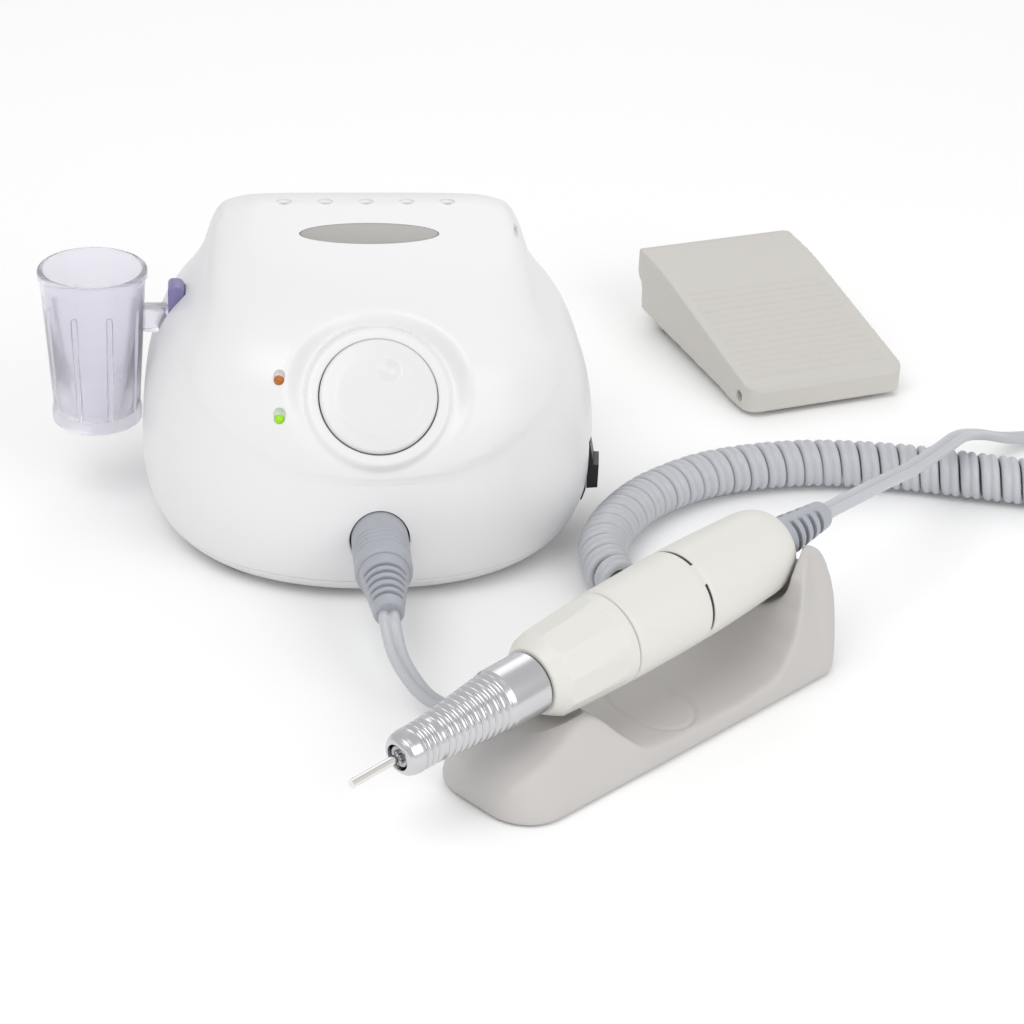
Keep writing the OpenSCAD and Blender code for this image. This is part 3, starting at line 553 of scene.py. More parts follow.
def coil_rings():
    """Helix of the curly cord round the line on which it lies, drawn in to the line at both ends."""
    axis = through([(x, y, LAY_Z) for x, y in COIL_POINTS], AXIS_STEPS)
    run = np.concatenate([[0], np.cumsum(np.linalg.norm(np.diff(axis, axis=0), axis=1))])

    def at(s):
        return np.array([np.interp(s, run, axis[:, k]) for k in range(3)])

    total = CURLS * TURN_STEPS
    open_steps = OPEN_TURNS * TURN_STEPS
    centres, outs = [], []
    for i in range(total + 1):
        s = LEAD_IN + (run[-1] - 2 * LEAD_IN) * i / total
        along = unit(at(min(s + 0.5, run[-1])) - at(max(s - 0.5, 0)))
        side = unit(np.cross(UP, along))
        rise = np.cross(along, side)
        a = math.pi / 2 + 2 * math.pi * i / TURN_STEPS
        out = side * math.cos(a) + rise * math.sin(a)
        centres.append(at(s) + COIL_R * ease(min(i, total - i) / open_steps) * out)
        outs.append(out)
    return centres, outs


def twin_section(width):
    """Outline of a flat cord of two round wires side by side: (across, out)."""
    centre = width / 2 - LOBE_R
    meet = math.acos(-centre / LOBE_R)
    half = LOBE_STEPS // 2
    right = [meet * (2 * (k + 0.5) / half - 1) for k in range(half)]
    outline = [(centre + LOBE_R * math.cos(a), LOBE_R * math.sin(a)) for a in right]
    return outline + [(-x, -y) for x, y in outline]


def cord_tube(name, centres, outs, width):
    """Twin-lobed flat cord along ring centres; outs point across its thin side."""
    points = []
    count = len(centres)
    section = twin_section(width)
    for i in range(count):
        along = unit(centres[min(i + 1, count - 1)] - centres[max(i - 1, 0)])
        out = unit(outs[i] - along * np.dot(outs[i], along))
        side = np.cross(out, along)
        points += [centres[i] + side * x + out * y for x, y in section]
    foot, head, *sides = ring_faces(count, LOBE_STEPS)
    return shade(from_points(name, points, sides + [foot, head], Matrix.Identity(4), CORD_GREY), 75)


def add_cords():
    start = np.array(PLUG_END, float)
    lead, lead_outs = lead_rings(through([start, start + (0, -STRAIGHT, 0)] + PLUG_POINTS, LEAD_STEPS))
    coil, coil_outs = coil_rings()
    centres, outs = lead[:-1] + coil, lead_outs[:-1] + coil_outs
    cord = cord_tube("curly_cord_piece", centres, outs, CORD_W)
    place(cord, "set", "grey_cord", "plug_lead", "curly_cord")
    end = np.array(HAND @ Vector((BOOT_LONG, 0, 0)))
    along = np.array(HAND.to_3x3() @ Vector((1, 0, 0)))
    tail_start = [end + TAIL_GAP * along, end + STRAIGHT * along]
    tail, tail_outs = lead_rings(through(tail_start + TAIL_POINTS, LEAD_STEPS))
    tail_cord = cord_tube("tail_lead_piece", tail, tail_outs, CORD_W)
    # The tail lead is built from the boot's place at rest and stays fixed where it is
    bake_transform(tail_cord)
    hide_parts("tail_lead")


# Control box

WALL = 2.6
SEAM_Z = 7.2
# Height, half width, front, back, widest point and front squareness
STATIONS = np.array(
    [
        (2, 60, -56, 60, 0, 2.2),
        (7.2, 64.5, -60.5, 62, 0, 2.2),
        (16, 68, -62, 62.5, 0, 2.2),
        (28, 68.8, -61, 62, 0, 2.25),
        (40, 68, -57.2, 61.3, 0, 2.3),
        (50, 66, -53, 60.5, 1, 2.4),
        (58, 63, -48.8, 59, 2, 2.5),
        (64, 59.3, -45, 57.2, 4, 2.7),
        (69, 55, -40.5, 55.2, 7, 2.9),
        (74, 51.3, -33.5, 52.5, 11, 3.1),
        (79, 49, -22.5, 49.3, 16, 3.3),
        (83.5, 47.3, -7.5, 45.5, 22, 3.4),
        (87, 45, 10, 41.5, 28, 3.4),
        (89, 41.5, 21, 38, 30, 3.4),
        (89.8, 33, 26.5, 34.5, 31, 3),
    ]
)
TOP_Z = STATIONS[-1][0]
BACK_SQUARE = 4


def station(z):
    """Measures of the housing at height z, on a smooth curve through the stations."""
    last = len(STATIONS) - 1
    i = min(max(int(np.searchsorted(STATIONS[:, 0], z, side="right")) - 1, 0), last - 1)
    a, b = STATIONS[i], STATIONS[i + 1]

    def slope(k):
        low, high = STATIONS[max(0, k - 1)], STATIONS[min(last, k + 1)]
        return (high - low) / (high[0] - low[0])

    h = b[0] - a[0]
    t = min(1, max(0, (z - a[0]) / h))
    u = 1 - t
    return a * (1 + 2 * t) * u * u + b * (3 - 2 * t) * t * t + (slope(i) * u - slope(i + 1) * t) * h * t * u


def box_outline(z, inset, steps):
    _, wide, front, back, middle, square = station(z)
    points = []
    for k in range(steps):
        a = 2 * math.pi * (k + 0.5) / steps
        c, s = math.cos(a), math.sin(a)
        power = 2 / (square if s < 0 else BACK_SQUARE)
        deep = middle - front - inset if s < 0 else back - middle - inset
        x = (wide - inset) * math.copysign(abs(c) ** power, c)
        points.append((x, middle + deep * math.copysign(abs(s) ** power, s)))
    return points


def box_loft(name, levels, steps, lift=0, material=None):
    """Loft of housing outlines; levels are (height, inset)."""
    points = [(x, y, z - lift) for z, inset in levels for x, y in box_outline(z, inset, steps)]
    return from_points(name, points, ring_faces(len(levels), steps), BOX, material)


COLLAR_UP = 1.8
KNOB_R = 16.8
KNOB_GAP = 0.5
KNOB_UP = 2
# Face panel: half width at each height, how far it stands proud, its soft step and how far back it goes
PANEL_EDGE = np.array(
    [
        (38.8, 0), (39.2, 12), (40.3, 22), (43.8, 33.5), (48.5, 44), (53, 51), (57, 54), (62, 54.5),
        (70, 50), (76, 48), (78.5, 48.3), (82, 46.8), (86, 43), (89, 38), (95, 30),
    ]
)
PANEL_PROUD = 0.5
PANEL_SOFT = 2.4
PANEL_BACK = 40
# Dish round the collar: its radii, its height at the sides and at the top, and its reach off the face
SEAT_R = 21.5
SEAT_W = 7
SEAT_SIDE = 0.6
SEAT_TOP = -2
SEAT_REACH = 25
# Collar: radius of its flat, and the width, height and power of its fall
COLLAR_FLAT = 19.8
COLLAR_FALL = 4.2
COLLAR_HIGH = 14
COLLAR_POWER = 2.2
FRONT_SOFT = 0.7
# Cutters: steps of a flared mouth and how far they stand out
FLARE_STEPS = 6
CUTTER_OVER = 20


def lower(a, b):
    """Smaller of two heights, rounded where they meet."""
    return -FRONT_SOFT * np.logaddexp(-a / FRONT_SOFT, -b / FRONT_SOFT)


def panel_lift(p):
    """How far the face panel stands proud at each point, with a soft step all round it."""
    z = p[:, 2]
    half = np.interp(z, PANEL_EDGE[:, 0], PANEL_EDGE[:, 1])
    lean = np.interp(z + 1, PANEL_EDGE[:, 0], PANEL_EDGE[:, 1]) - half
    inside = (half - abs(p[:, 0])) / np.hypot(1, lean)
    inside = np.where(z < PANEL_EDGE[0][0], np.minimum(inside, z - PANEL_EDGE[0][0]), inside)
    return PANEL_PROUD * ease(inside / (2 * PANEL_SOFT) + 0.5) * (p[:, 1] < PANEL_BACK)


def knob_seat(q):
    """Collar round the knob and the dish scooped out above it, in the knob's frame."""
    rho = np.hypot(q[:, 0], q[:, 1])
    up = np.maximum(0, q[:, 1] / np.maximum(rho, 1))
    dish = lower(q[:, 2], SEAT_SIDE + (SEAT_TOP - SEAT_SIDE) * up**2)
    body = dish + (q[:, 2] - dish) * ease((rho - SEAT_R) / SEAT_W)
    fall = np.maximum(0, (rho - COLLAR_FLAT) / COLLAR_FALL)
    collar = COLLAR_UP - COLLAR_HIGH * fall**COLLAR_POWER
    height = -lower(-body, -collar)
    near = (rho < SEAT_R + SEAT_W) & (abs(q[:, 2]) < SEAT_REACH)
    q[:, 2] = np.where(near, height, q[:, 2])
    return q


def form_front(obj):
    """Raises the face panel and forms the knob's seat in the plain shell."""
    normals = np.empty(3 * len(obj.data.vertices))
    obj.data.vertices.foreach_get("normal", normals)
    normals = normals.reshape(-1, 3)
    reshape(obj, BOX, lambda p: p + normals * panel_lift(p)[:, None])
    reshape(obj, KNOB, knob_seat)


def ring_cutter(name, radius, low, high, at, flare, steps=96):
    """Round cutter along the frame's x axis with a flared mouth at its high end."""
    profile = [(low, 0), (low, radius)] + arc(high - flare, radius + flare, flare, -90, 0, FLARE_STEPS)
    profile += [(high + CUTTER_OVER, radius + flare), (high + CUTTER_OVER, 0)]
    return turned(name, profile, at, steps=steps)


# Indicators: place of each, radius, bore and the dish beside it
LED_X = -28.5
LEDS = {"amber": (-42.3, 63.8), "green": (-47.6, 54)}
LED_R = 1.5
LED_GAP = 0.02
LED_BORE = (-12, 6)
LED_LOW = -9
LED_HIGH = 1.25
DISH_R = 1.9
DISH_SHIFT = 1.25
DISH_UP = 1.45
# Bur holes in the roof
BUR_PITCH = 12.5
BUR_Y = 28.7
BUR_R = 1.3
BUR_GAP = 0.1
BUR_LOW = 80
BUR_FLARE = 0.9
# Knob: bottom of its recess, and the hole and solid seat behind it as (low, high, radius)
RECESS_LOW = -4
RECESS_FLARE = 0.5
SHAFT_HOLE = (-30, 10, 4)
KNOB_SEAT = (-9, 30, 31)
# Jack hole: radius and reach along the plug's axis
JACK_HOLE_R = 8.7
JACK_HOLE = (50, 61.6)
# Emblem: half sizes, underside and height of the plate, and half sizes, height and edge of its bed
EMBLEM_R = (20.9, 5.6)
EMBLEM_LOW = -0.9
EMBLEM_UP = 0.5
EMBLEM_BED_R = (21.1, 5.8)
EMBLEM_BED_UP = 5
EMBLEM_BED_EDGE = 0.1
EMBLEM = BOX @ move(0, 10.1, 87) @ turn(11, "X")
# Rear panel: width, height and thickness, the rim that carries it and the window behind it
BACK_Y = 57
REAR_PANEL = (92, 30, 3)
PANEL_Z = SEAM_Z + 4
PANEL_RIM = 2
WINDOW_Y = (40, 70)
# Cup: its axis, and its slot, arm and clip
CUP_AT = (-82.9, 12)
SLOT_Z = 64
ARM_Z = 59.4
CLIP_X = -60.5
CLIP_T = 5
# Blocks cut out of the housing or kept in its hollow, each by two corners
ROCKER = BOX @ move(67.2, -14, 22) @ turn(-8, "Z")
ROCKER_BED = ((-2.2, -7.2, -10.2), (9, 7.2, 10.2))
ROCKER_HOLE = ((-10, -6.6, -9.6), (10, 6.6, 9.6))
ROCKER_SEAT = ((-5, -10, -13), (4, 10, 13))
VENT = BOX @ move(45.3, 16, 86.2) @ turn(38, "Y")
VENT_SLOT = ((-0.8, -4, -1.2), (0.8, 4, 4))
SLOT_LOW = (-75, CUP_AT[1] - 4.2, ARM_Z - 4.4)
SLOT_HIGH = (CLIP_X + CLIP_T + 0.3, CUP_AT[1] + 4.2, SLOT_Z + 7.2)
CUP_SEAT = ((-70, CUP_AT[1] - 8, SLOT_Z - 11), (-52, CUP_AT[1] + 8, SLOT_Z + 9))
REAR_SEAT = ((-50, 52.5, 0), (50, 66, 46))
BUR_SEAT = ((-34, BUR_Y - 7, 85), (34, BUR_Y + 7, 95))
CAVE_MOUTH = ((-55, -50, SEAM_Z - WALL - 2), (55, 54, SEAM_Z + 0.01))
CAVE_STEPS = 64
# Housing: points in a ring, and heights of its rings, closest on its face
HOUSING_STEPS = 640
HOUSING_RINGS = np.concatenate(
    [np.linspace(SEAM_Z + 0.3, 34, 40), np.linspace(34.4, 82, 140), np.linspace(82.3, TOP_Z, 34)]
)


def led_frame(name):
    y, z = LEDS[name]
    return BOX @ move(LED_X, y, z) @ turn(90 - KNOB_TILT, "X")


def ellipse_plate(name, radii, low, high, round_by, at, material=None, steps=96):
    """Flat elliptic plate with a rounded upper edge."""
    levels = [(low, 0)] + arc(high - round_by, round_by, round_by, -90, 0, FLARE_STEPS)
    points = []
    for z, inset in levels:
        for k in range(steps):
            a = 2 * math.pi * k / steps
            points.append(((radii[0] - inset) * math.cos(a), (radii[1] - inset) * math.sin(a), z))
    return from_points(name, points, ring_faces(len(levels), steps), at, material)


def rod(name, low, high, radius, at, steps=96):
    """Plain round bar along the frame's x axis."""
    return turned(name, [(low, 0), (low, radius), (high, radius), (high, 0)], at, steps=steps)


def joined(pieces):
    """One object out of several cutters."""
    work = bmesh.new()
    for piece in pieces:
        work.from_mesh(piece.data)
    mesh = bpy.data.meshes.new("cutters")
    work.to_mesh(mesh)
    work.free()
    for piece in pieces:
        old = piece.data
        bpy.data.objects.remove(piece)
        bpy.data.meshes.remove(old)
    return add_object("cutters", mesh, None)


def front_holes(knob_x):
    """Cutters for the knob, indicators, plug, emblem, switch and burs."""
    recess_r = KNOB_R + KNOB_GAP
    holes = [ring_cutter("recess", recess_r, RECESS_LOW, COLLAR_UP, knob_x, RECESS_FLARE)]
    for name in LEDS:
        holes.append(rod("led hole", *LED_BORE, LED_R + LED_GAP, led_frame(name) @ X_TO_Z, 32))
    jack_at = BOX @ move(0, 0, JACK_Z) @ turn(-90, "Z")
    holes.append(ring_cutter("jack hole", JACK_HOLE_R, *JACK_HOLE, jack_at, RECESS_FLARE))
    bed = (EMBLEM_BED_R, EMBLEM_LOW, EMBLEM_BED_UP, EMBLEM_BED_EDGE)
    holes.append(ellipse_plate("emblem bed", *bed, EMBLEM))
    holes.append(block("rocker bed", *ROCKER_BED, ROCKER))
    for i in range(-2, 3):
        at = BOX @ move(i * BUR_PITCH, BUR_Y, 0) @ X_TO_Z
        top = TOP_Z + BUR_GAP
        holes.append(ring_cutter("bur hole", BUR_R + BUR_GAP, BUR_LOW, top, at, BUR_FLARE, 40))
    return holes


def side_holes(knob_x):
    """Cutters that meet others: inner holes, indicator dishes, rear window, cup slot and shoulder slot."""
    holes = [rod("shaft hole", *SHAFT_HOLE, knob_x)]
    for name in LEDS:
        ball = [(DISH_R * math.cos(a), max(0, DISH_R * math.sin(a))) for a in np.linspace(0, math.pi, 17)]
        at = led_frame(name) @ move(0, DISH_SHIFT, DISH_UP) @ X_TO_Z
        holes.append(turned("led dish", ball, at, steps=32))
    holes.append(block("rocker hole", *ROCKER_HOLE, ROCKER))
    wide, tall, thick = REAR_PANEL
    bed_low = (-wide / 2, BACK_Y - thick, PANEL_Z)
    bed_high = (wide / 2, BACK_Y + CUTTER_OVER, PANEL_Z + tall)
    holes.append(block("panel bed", bed_low, bed_high, BOX))
    holes.append(block("cup slot", SLOT_LOW, SLOT_HIGH, BOX))
    holes.append(block("shoulder slot", *VENT_SLOT, VENT))
    return holes


def cave_body(knob_x):
    """Hollow of the housing, less the seats that stay solid."""
    cave = box_loft("cave", [(z, WALL) for z in STATIONS[1:, 0]], CAVE_STEPS, WALL)
    fuse(cave, block("mouth", *CAVE_MOUTH, BOX))
    keep = [rod("knob seat", *KNOB_SEAT, knob_x)]
    keep.append(block("rear seat", *REAR_SEAT, BOX))
    keep.append(block("bur seat", *BUR_SEAT, BOX))
    keep.append(block("rocker seat", *ROCKER_SEAT, ROCKER))
    keep.append(block("cup seat", *CUP_SEAT, BOX))
    return cut(cave, *keep)


def add_housing():
    levels = [(SEAM_Z, 0.25), (SEAM_Z + 0.12, 0.08)] + [(z, 0) for z in HOUSING_RINGS]
    shell = box_loft("housing_piece", levels, HOUSING_STEPS, material=WHITE)
    form_front(shell)
    knob_x = KNOB @ X_TO_Z
    cut(shell, cave_body(knob_x), joined(front_holes(knob_x)), joined(side_holes(knob_x)))
    wide, tall, _ = REAR_PANEL
    window_low = (PANEL_RIM - wide / 2, WINDOW_Y[0], PANEL_Z + PANEL_RIM)
    window_high = (wide / 2 - PANEL_RIM, WINDOW_Y[1], PANEL_Z + tall - PANEL_RIM)
    cut(shell, block("panel hole", window_low, window_high, BOX))
    return place(shade(clean(shell), 32), "set", "white_shell", "housing")


# How far the switch frame stands out of the shell
FRAME_OUT = 0.5


def add_switch_frame():
    """Switch frame, following the curve of the shell."""
    bezel = copy_of("power_frame")
    skin = [(z, -FRAME_OUT) for z in np.linspace(4, 60, 40)]
    combine(bezel, box_loft("skin", skin, 256), "INTERSECT")
    return place(shade(paint(bezel, BLACK), 35), "set", "black_plastic", "power_frame")


# Base: thickness of its floor, gap round its hollow, and its screws
BASE_FLOOR = 3
TRAY_GAP = 0.6
TRAY_HEIGHTS = (2.5, 4, 9)
SCREW_X = (-46, 46)
SCREW_Y = (-18, 44)
SCREW_HOLE = [(0, 0), (0, 3.2), (3.2, 3.2), (3.2, 1.7), (20, 1.7), (20, 0)]


def add_base():
    levels = [(2, 1.2), (2.25, 0.5), (2.7, 0.1), (3.2, 0)]
    levels += [(z, 0) for z in np.linspace(3.8, SEAM_Z - 0.6, 10)]
    levels += [(SEAM_Z - 0.18, 0.08), (SEAM_Z - 0.05, 0.25)]
    base = box_loft("base_piece", levels, 192, material=WHITE)
    cut(base, box_loft("tray", [(z, WALL + TRAY_GAP) for z in TRAY_HEIGHTS], CAVE_STEPS, -BASE_FLOOR))
    for x in SCREW_X:
        for y in SCREW_Y:
            cut(base, turned("screw hole", SCREW_HOLE, BOX @ move(x, y, 0) @ X_TO_Z, steps=32))
    return place(shade(base), "set", "white_shell", "base")


# Knob: radius of its flat disc, rounding of its edge, and its finger dimple
DISC_R = 12.4
KNOB_ROUND = 1.1
DIMPLE_OUT = 8
DIMPLE_TURN = math.radians(25)
DIMPLE_R = 3.6
DIMPLE_DEEP = 1.1


def knob_profile(top):
    edge = KNOB_R + 0.2
    rim = edge - KNOB_ROUND
    profile = [(-3, 3), (-3, edge - 0.4), (-2.6, edge)] + arc(top - 1.6, rim, KNOB_ROUND, 90, 0)
    profile += [(top - 0.5 + 0.3 * t, rim - (rim - DISC_R - 0.5) * t) for t in np.linspace(0.1, 1, 8)]
    profile += [(top - 0.12, DISC_R + 0.15), (top - 0.04, DISC_R - 0.3), (top - 0.01, DISC_R - 0.8)]
    profile += [(top, r) for r in np.linspace(DISC_R - 1.2, 0.2, 48)]
    return profile + [(top, 0), (top - 2.5, 0), (top - 2.5, 3)]


def add_knob():
    top = COLLAR_UP + KNOB_UP
    knob = turned("speed_knob_piece", knob_profile(top), KNOB @ X_TO_Z, KNOB_WHITE, 192)
    dimple_x, dimple_y = DIMPLE_OUT * math.sin(DIMPLE_TURN), DIMPLE_OUT * math.cos(DIMPLE_TURN)

    def dimple(p):
        far = np.hypot(p[:, 0] - dimple_x, p[:, 1] - dimple_y) / DIMPLE_R
        depth = DIMPLE_DEEP * np.maximum(0, 1 - far * far) ** 1.5
        p[:, 2] -= np.where(p[:, 2] > top - 0.5, depth, 0)
        return p

    reshape(knob, KNOB, dimple)
    return place(shade(knob, 50), "knob", "white_shell", "speed_knob")


def add_led(name, material):
    angles = np.linspace(0, math.pi / 2, 9)[:-1]
    ball = [(LED_R * math.sin(a) * LED_HIGH, LED_R * math.cos(a)) for a in angles]
    profile = [(LED_LOW, 0), (LED_LOW, LED_R)] + ball + [(LED_R * LED_HIGH, 0)]
    led = turned(f"led_{name}_piece", profile, led_frame(name) @ X_TO_Z, material, 40)
    return place(shade(led), "set", f"{name}_lens", f"led_{name}")


def add_emblem():
    plate = ellipse_plate("emblem_piece", EMBLEM_R, EMBLEM_LOW, EMBLEM_UP, EMBLEM_UP, EMBLEM, BADGE)
    return place(shade(plate, 50), "set", "badge_grey", "emblem")


# Cup, its inner ribs and its clip
CUP_Z = 25.8
CUP_R = 16.5
CUP_FOOT_R = 13.2
CUP_H = 50
CUP_WALL = 2
CUP_RIBS = 8
RIB_R = 1
RIB_LONG = CUP_H - 14
RIB_TURN = 22
RIB_LEAN = 2.6
ARM_HALF = (3, 4)
ARM_ROUND = 1.2
CLIP_OUTLINE = [(0, -6.8), (5, -3.6), (5, 5), (4.5, 6.1), (3.4, 6.7), (1.4, 6.8), (0.4, 6.4), (0, 5.6)]
CLIP_HALF = 3.9
CLIP_ROUND = 0.5


def add_cup():
    at = BOX @ move(*CUP_AT, CUP_Z)
    lip = CUP_WALL / 2
    profile = [(0, 0), (0, CUP_FOOT_R - 0.6)] + arc(0.8, CUP_FOOT_R - 0.4, 0.8, 180, 90, 5)
    profile += [(3.6, CUP_FOOT_R + 0.45), (4.6, CUP_FOOT_R + 0.3), (5.6, CUP_FOOT_R)]
    profile += [(CUP_H - 4, CUP_R - 0.75), (CUP_H - 3, CUP_R - 0.5), (CUP_H - 2.4, CUP_R - 0.1)]
    profile += arc(CUP_H - lip, CUP_R - lip, lip, 90, -90, 12)
    profile += [(CUP_H - 4, CUP_R - CUP_WALL - 0.2), (4, CUP_FOOT_R - CUP_WALL + 0.05)]
    profile += [(3.2, CUP_FOOT_R - CUP_WALL - 0.6), (3, CUP_FOOT_R - CUP_WALL - 1.6), (3, 0)]
    cup = turned("cup_piece", profile, at @ X_TO_Z, CUP_CLEAR, 128)
    foot = move(CUP_FOOT_R - CUP_WALL + 0.4, 0, 2) @ turn(RIB_LEAN, "Y")
    rib = [(0, 0), (0, RIB_R)] + arc(RIB_LONG, 0, RIB_R, 90, 0, 5)[:-1] + [(RIB_LONG + RIB_R, 0)]
    for k in range(CUP_RIBS):
        rib_at = at @ turn(360 / CUP_RIBS * k + RIB_TURN, "Z") @ foot @ X_TO_Z
        fuse(cup, turned("rib", rib, rib_at, steps=20))
    wide, high = ARM_HALF
    arm_low = (CUP_R - CUP_WALL, -wide, ARM_Z - CUP_Z - high)
    arm_high = (CLIP_X - CUP_AT[0], wide, ARM_Z - CUP_Z + high)
    fuse(cup, settle(add_bevel(block("arm", arm_low, arm_high, at), ARM_ROUND, 4)))
    return place(shade(clean(cup), 40), "cup", "clear_cup", "cup")


def add_clip():
    at = BOX @ move(CLIP_X, CUP_AT[1], SLOT_Z)
    clip = prism("cup_clip_piece", CLIP_OUTLINE, -CLIP_HALF, CLIP_HALF, at, PURPLE)
    return place(shade(settle(add_bevel(clip, CLIP_ROUND)), 45), "cup", "clip_purple", "cup_clip")


# Handpiece

NOSE_A = -102.5
NOSE_B = -56
SLEEVE_B = -28
NOSE_R = 8.6
BARREL_R = 13.6
# Nose: rounded tip, straight grip, cone and plain rear band, and the grooves between its ribs
NOSE_MARKS = [NOSE_A + back for back in (0, 0.4, 1.2, 2.4, 4, 11)]
NOSE_MARKS += [NOSE_B - 13.5, NOSE_B - 12.5, NOSE_B]
NOSE_RADII = [4.0, 4.8, 5.5, 5.9, 6.1, 6.15, NOSE_R - 0.35, NOSE_R, NOSE_R]
GROOVES = [NOSE_A + 5.4 + 1.9 * k for k in range(3)] + [NOSE_A + 12.6 + 2.1 * k for k in range(10)]
GROOVE_DEEP = 0.7
GROOVE_HALF = 0.42
# Plug and its grooves
PLUG_R = 8.3
PLUG_GROOVES = [6.4 + 2.4 * k for k in range(4)]
PLUG_GROOVE_DEEP = 0.6
PLUG_GROOVE_HALF = 0.38
# Softened copies: voxel in millimetres and rounds of smoothing
BOOT_SKIN = (0.24, 2)
REST_SKIN = (0.5, 80)
TREADLE_SKIN = (0.5, 3)


def groove_depth(x, grooves, deep, half):
    return deep * sum(math.exp(-(((x - groove) / half) ** 2)) for groove in grooves)


def nose_radius(x):
    radius = float(np.interp(x, NOSE_MARKS, NOSE_RADII))
    return radius - groove_depth(x, GROOVES, GROOVE_DEEP, GROOVE_HALF)


def add_nose():
    profile = [(x, nose_radius(x)) for x in np.linspace(NOSE_A, NOSE_B - 0.9, 360)]
    profile += arc(NOSE_B - 0.9, NOSE_R - 0.6, 0.6, 90, 0, 4)
    profile += [(NOSE_B - 0.3, 6.6), (NOSE_B - 8, 6.6), (NOSE_B - 8, 5)]
    profile += [(NOSE_A + 5, 5), (NOSE_A + 5, 3.6), (NOSE_A, 3.6)]
    nose = turned("nose_cone_piece", profile, HAND, ALUMINIUM, 128)
    return place(shade(nose, 50), "handpiece", "nose_aluminium", "nose_cone")


# Sleeve: count of flats, their distance from the axis in front, its growth to the rear, and their ends
SLEEVE_SIDES = 10
FLAT_AT = 11.25
FLAT_GROWTH = 1.75
FLAT_FROM_R = 9.2
FLAT_SHORT = 4.2


def sleeve_shape(angle, x, radius):
    """Flats along the sleeve, from its front chamfer to a little short of its rear edge."""
    if radius < FLAT_FROM_R or x > SLEEVE_B - FLAT_SHORT:
        return radius
    flat = FLAT_AT + (x - NOSE_B) / (SLEEVE_B - NOSE_B) * FLAT_GROWTH
    step = 2 * math.pi / SLEEVE_SIDES
    off = (angle + step / 2) % step - step / 2
    return min(radius, flat / math.cos(off))


def add_sleeve():
    profile = [(NOSE_B, NOSE_R + 0.2), (NOSE_B, NOSE_R + 0.5), (NOSE_B + 0.3, NOSE_R + 0.9)]
    profile += [(NOSE_B + 0.3 + 4.9 * t, NOSE_R + 0.9 + 2.9 * t) for t in np.linspace(0.1, 1, 10)]
    profile += [(x, 12.35 + (x - NOSE_B - 5) * 0.036) for x in np.linspace(NOSE_B + 6, SLEEVE_B - 1, 40)]
    profile += [(SLEEVE_B - 0.55, BARREL_R - 0.55), (SLEEVE_B - 0.3, BARREL_R - 0.95)]
    profile += [(SLEEVE_B - 0.3, 8.1), (NOSE_B, 8.1)]
    sleeve = turned("lock_sleeve_piece", profile, HAND, IVORY, 240, sleeve_shape)
    return place(shade(sleeve, 14), "sleeve", "ivory_plastic", "lock_sleeve")


# Slits between case and cap: half width, the dark ring's radii, and the bridges in degrees
SLIT_HALF = 0.5
RING_RADII = (12.02, 13)
BRIDGES = [35 + 90 * k for k in range(4)]
BRIDGE_SPAN = 28
BRIDGE_STEPS = 18
BRIDGE_FOOT = 12.9
# Rear cap: where its end starts to bend, the end's length and height, and the boot's bore
CAP_BEND = 27.4
CAP_LONG = 12.6
CAP_FALL = 8.1
BOOT_BORE = 4.6


def add_motor_case():
    profile = [(SLEEVE_B, 8), (SLEEVE_B, BARREL_R - 1), (SLEEVE_B + 0.25, BARREL_R - 0.6)]
    profile.append((SLEEVE_B + 0.8, BARREL_R - 0.35))
    profile += [(x, BARREL_R - 0.3 * max(0, -x - 6) / 22) for x in np.linspace(SLEEVE_B + 1.4, -1.4, 26)]
    profile += [(-SLIT_HALF - 0.25, BARREL_R - 0.08), (-SLIT_HALF, BARREL_R - 0.3), (-SLIT_HALF, 12)]
    profile += [(27, 12), (27, 11), (SLEEVE_B + 6, 11), (SLEEVE_B + 6, 8)]
    case = turned("motor_case_piece", profile, HAND, IVORY, 160)
    return place(shade(case, 40), "handpiece", "ivory_plastic", "motor_case")


def add_rear_cap():
    profile = [(SLIT_HALF, 12.05), (SLIT_HALF, BARREL_R - 0.3)]
    profile += [(SLIT_HALF + 0.25, BARREL_R - 0.08), (1.4, BARREL_R)]
    profile += [(x, BARREL_R - 0.9 * ((x - 1.4) / 26) ** 1.6) for x in np.linspace(3, CAP_BEND, 14)]
    for a in np.radians(np.linspace(6, 90, 18))[:-1]:
        x = CAP_BEND + CAP_LONG * math.sin(a) ** 0.85
        profile.append((x, BOOT_BORE + CAP_FALL * math.cos(a) ** 0.8))
    profile += [(CAP_BEND + CAP_LONG, BOOT_BORE), (35.5, BOOT_BORE), (35.5, 8), (34, 8), (30, 12.05)]
    cap = turned("rear_cap_piece", profile, HAND, IVORY, 160)
    return place(shade(cap, 40), "handpiece", "ivory_plastic", "rear_cap")


def add_slit_ring():
    """Dark ring seen in the slits."""
    low, high = RING_RADII
    profile = [(-SLIT_HALF, low), (-SLIT_HALF, high), (SLIT_HALF, high), (SLIT_HALF, low)]
    ring = turned("slit_ring_piece", profile, HAND, BLACK, 160)
    return place(shade(ring, 40), "handpiece", "black_plastic", "slit_ring")


def add_slit_bridges():
    """Short bridges between the slits, standing up to the skin."""
    skin = BARREL_R - 0.3
    outline = [(-1, BRIDGE_FOOT), (-1, skin), (1, skin), (1, BRIDGE_FOOT)]
    points, faces = [], []
    for middle in BRIDGES:
        arc_faces = ring_faces(BRIDGE_STEPS + 1, len(outline))
        faces += [tuple(len(points) + i for i in face) for face in arc_faces]
        for a in np.radians(middle + np.linspace(-BRIDGE_SPAN / 2, BRIDGE_SPAN / 2, BRIDGE_STEPS + 1)):
            points += [(x * SLIT_HALF, r * math.cos(a), r * math.sin(a)) for x, r in outline]
    bridges = from_points("slit_bridges", points, faces, HAND, IVORY)
    return place(shade(bridges, 40), "handpiece", "ivory_plastic")


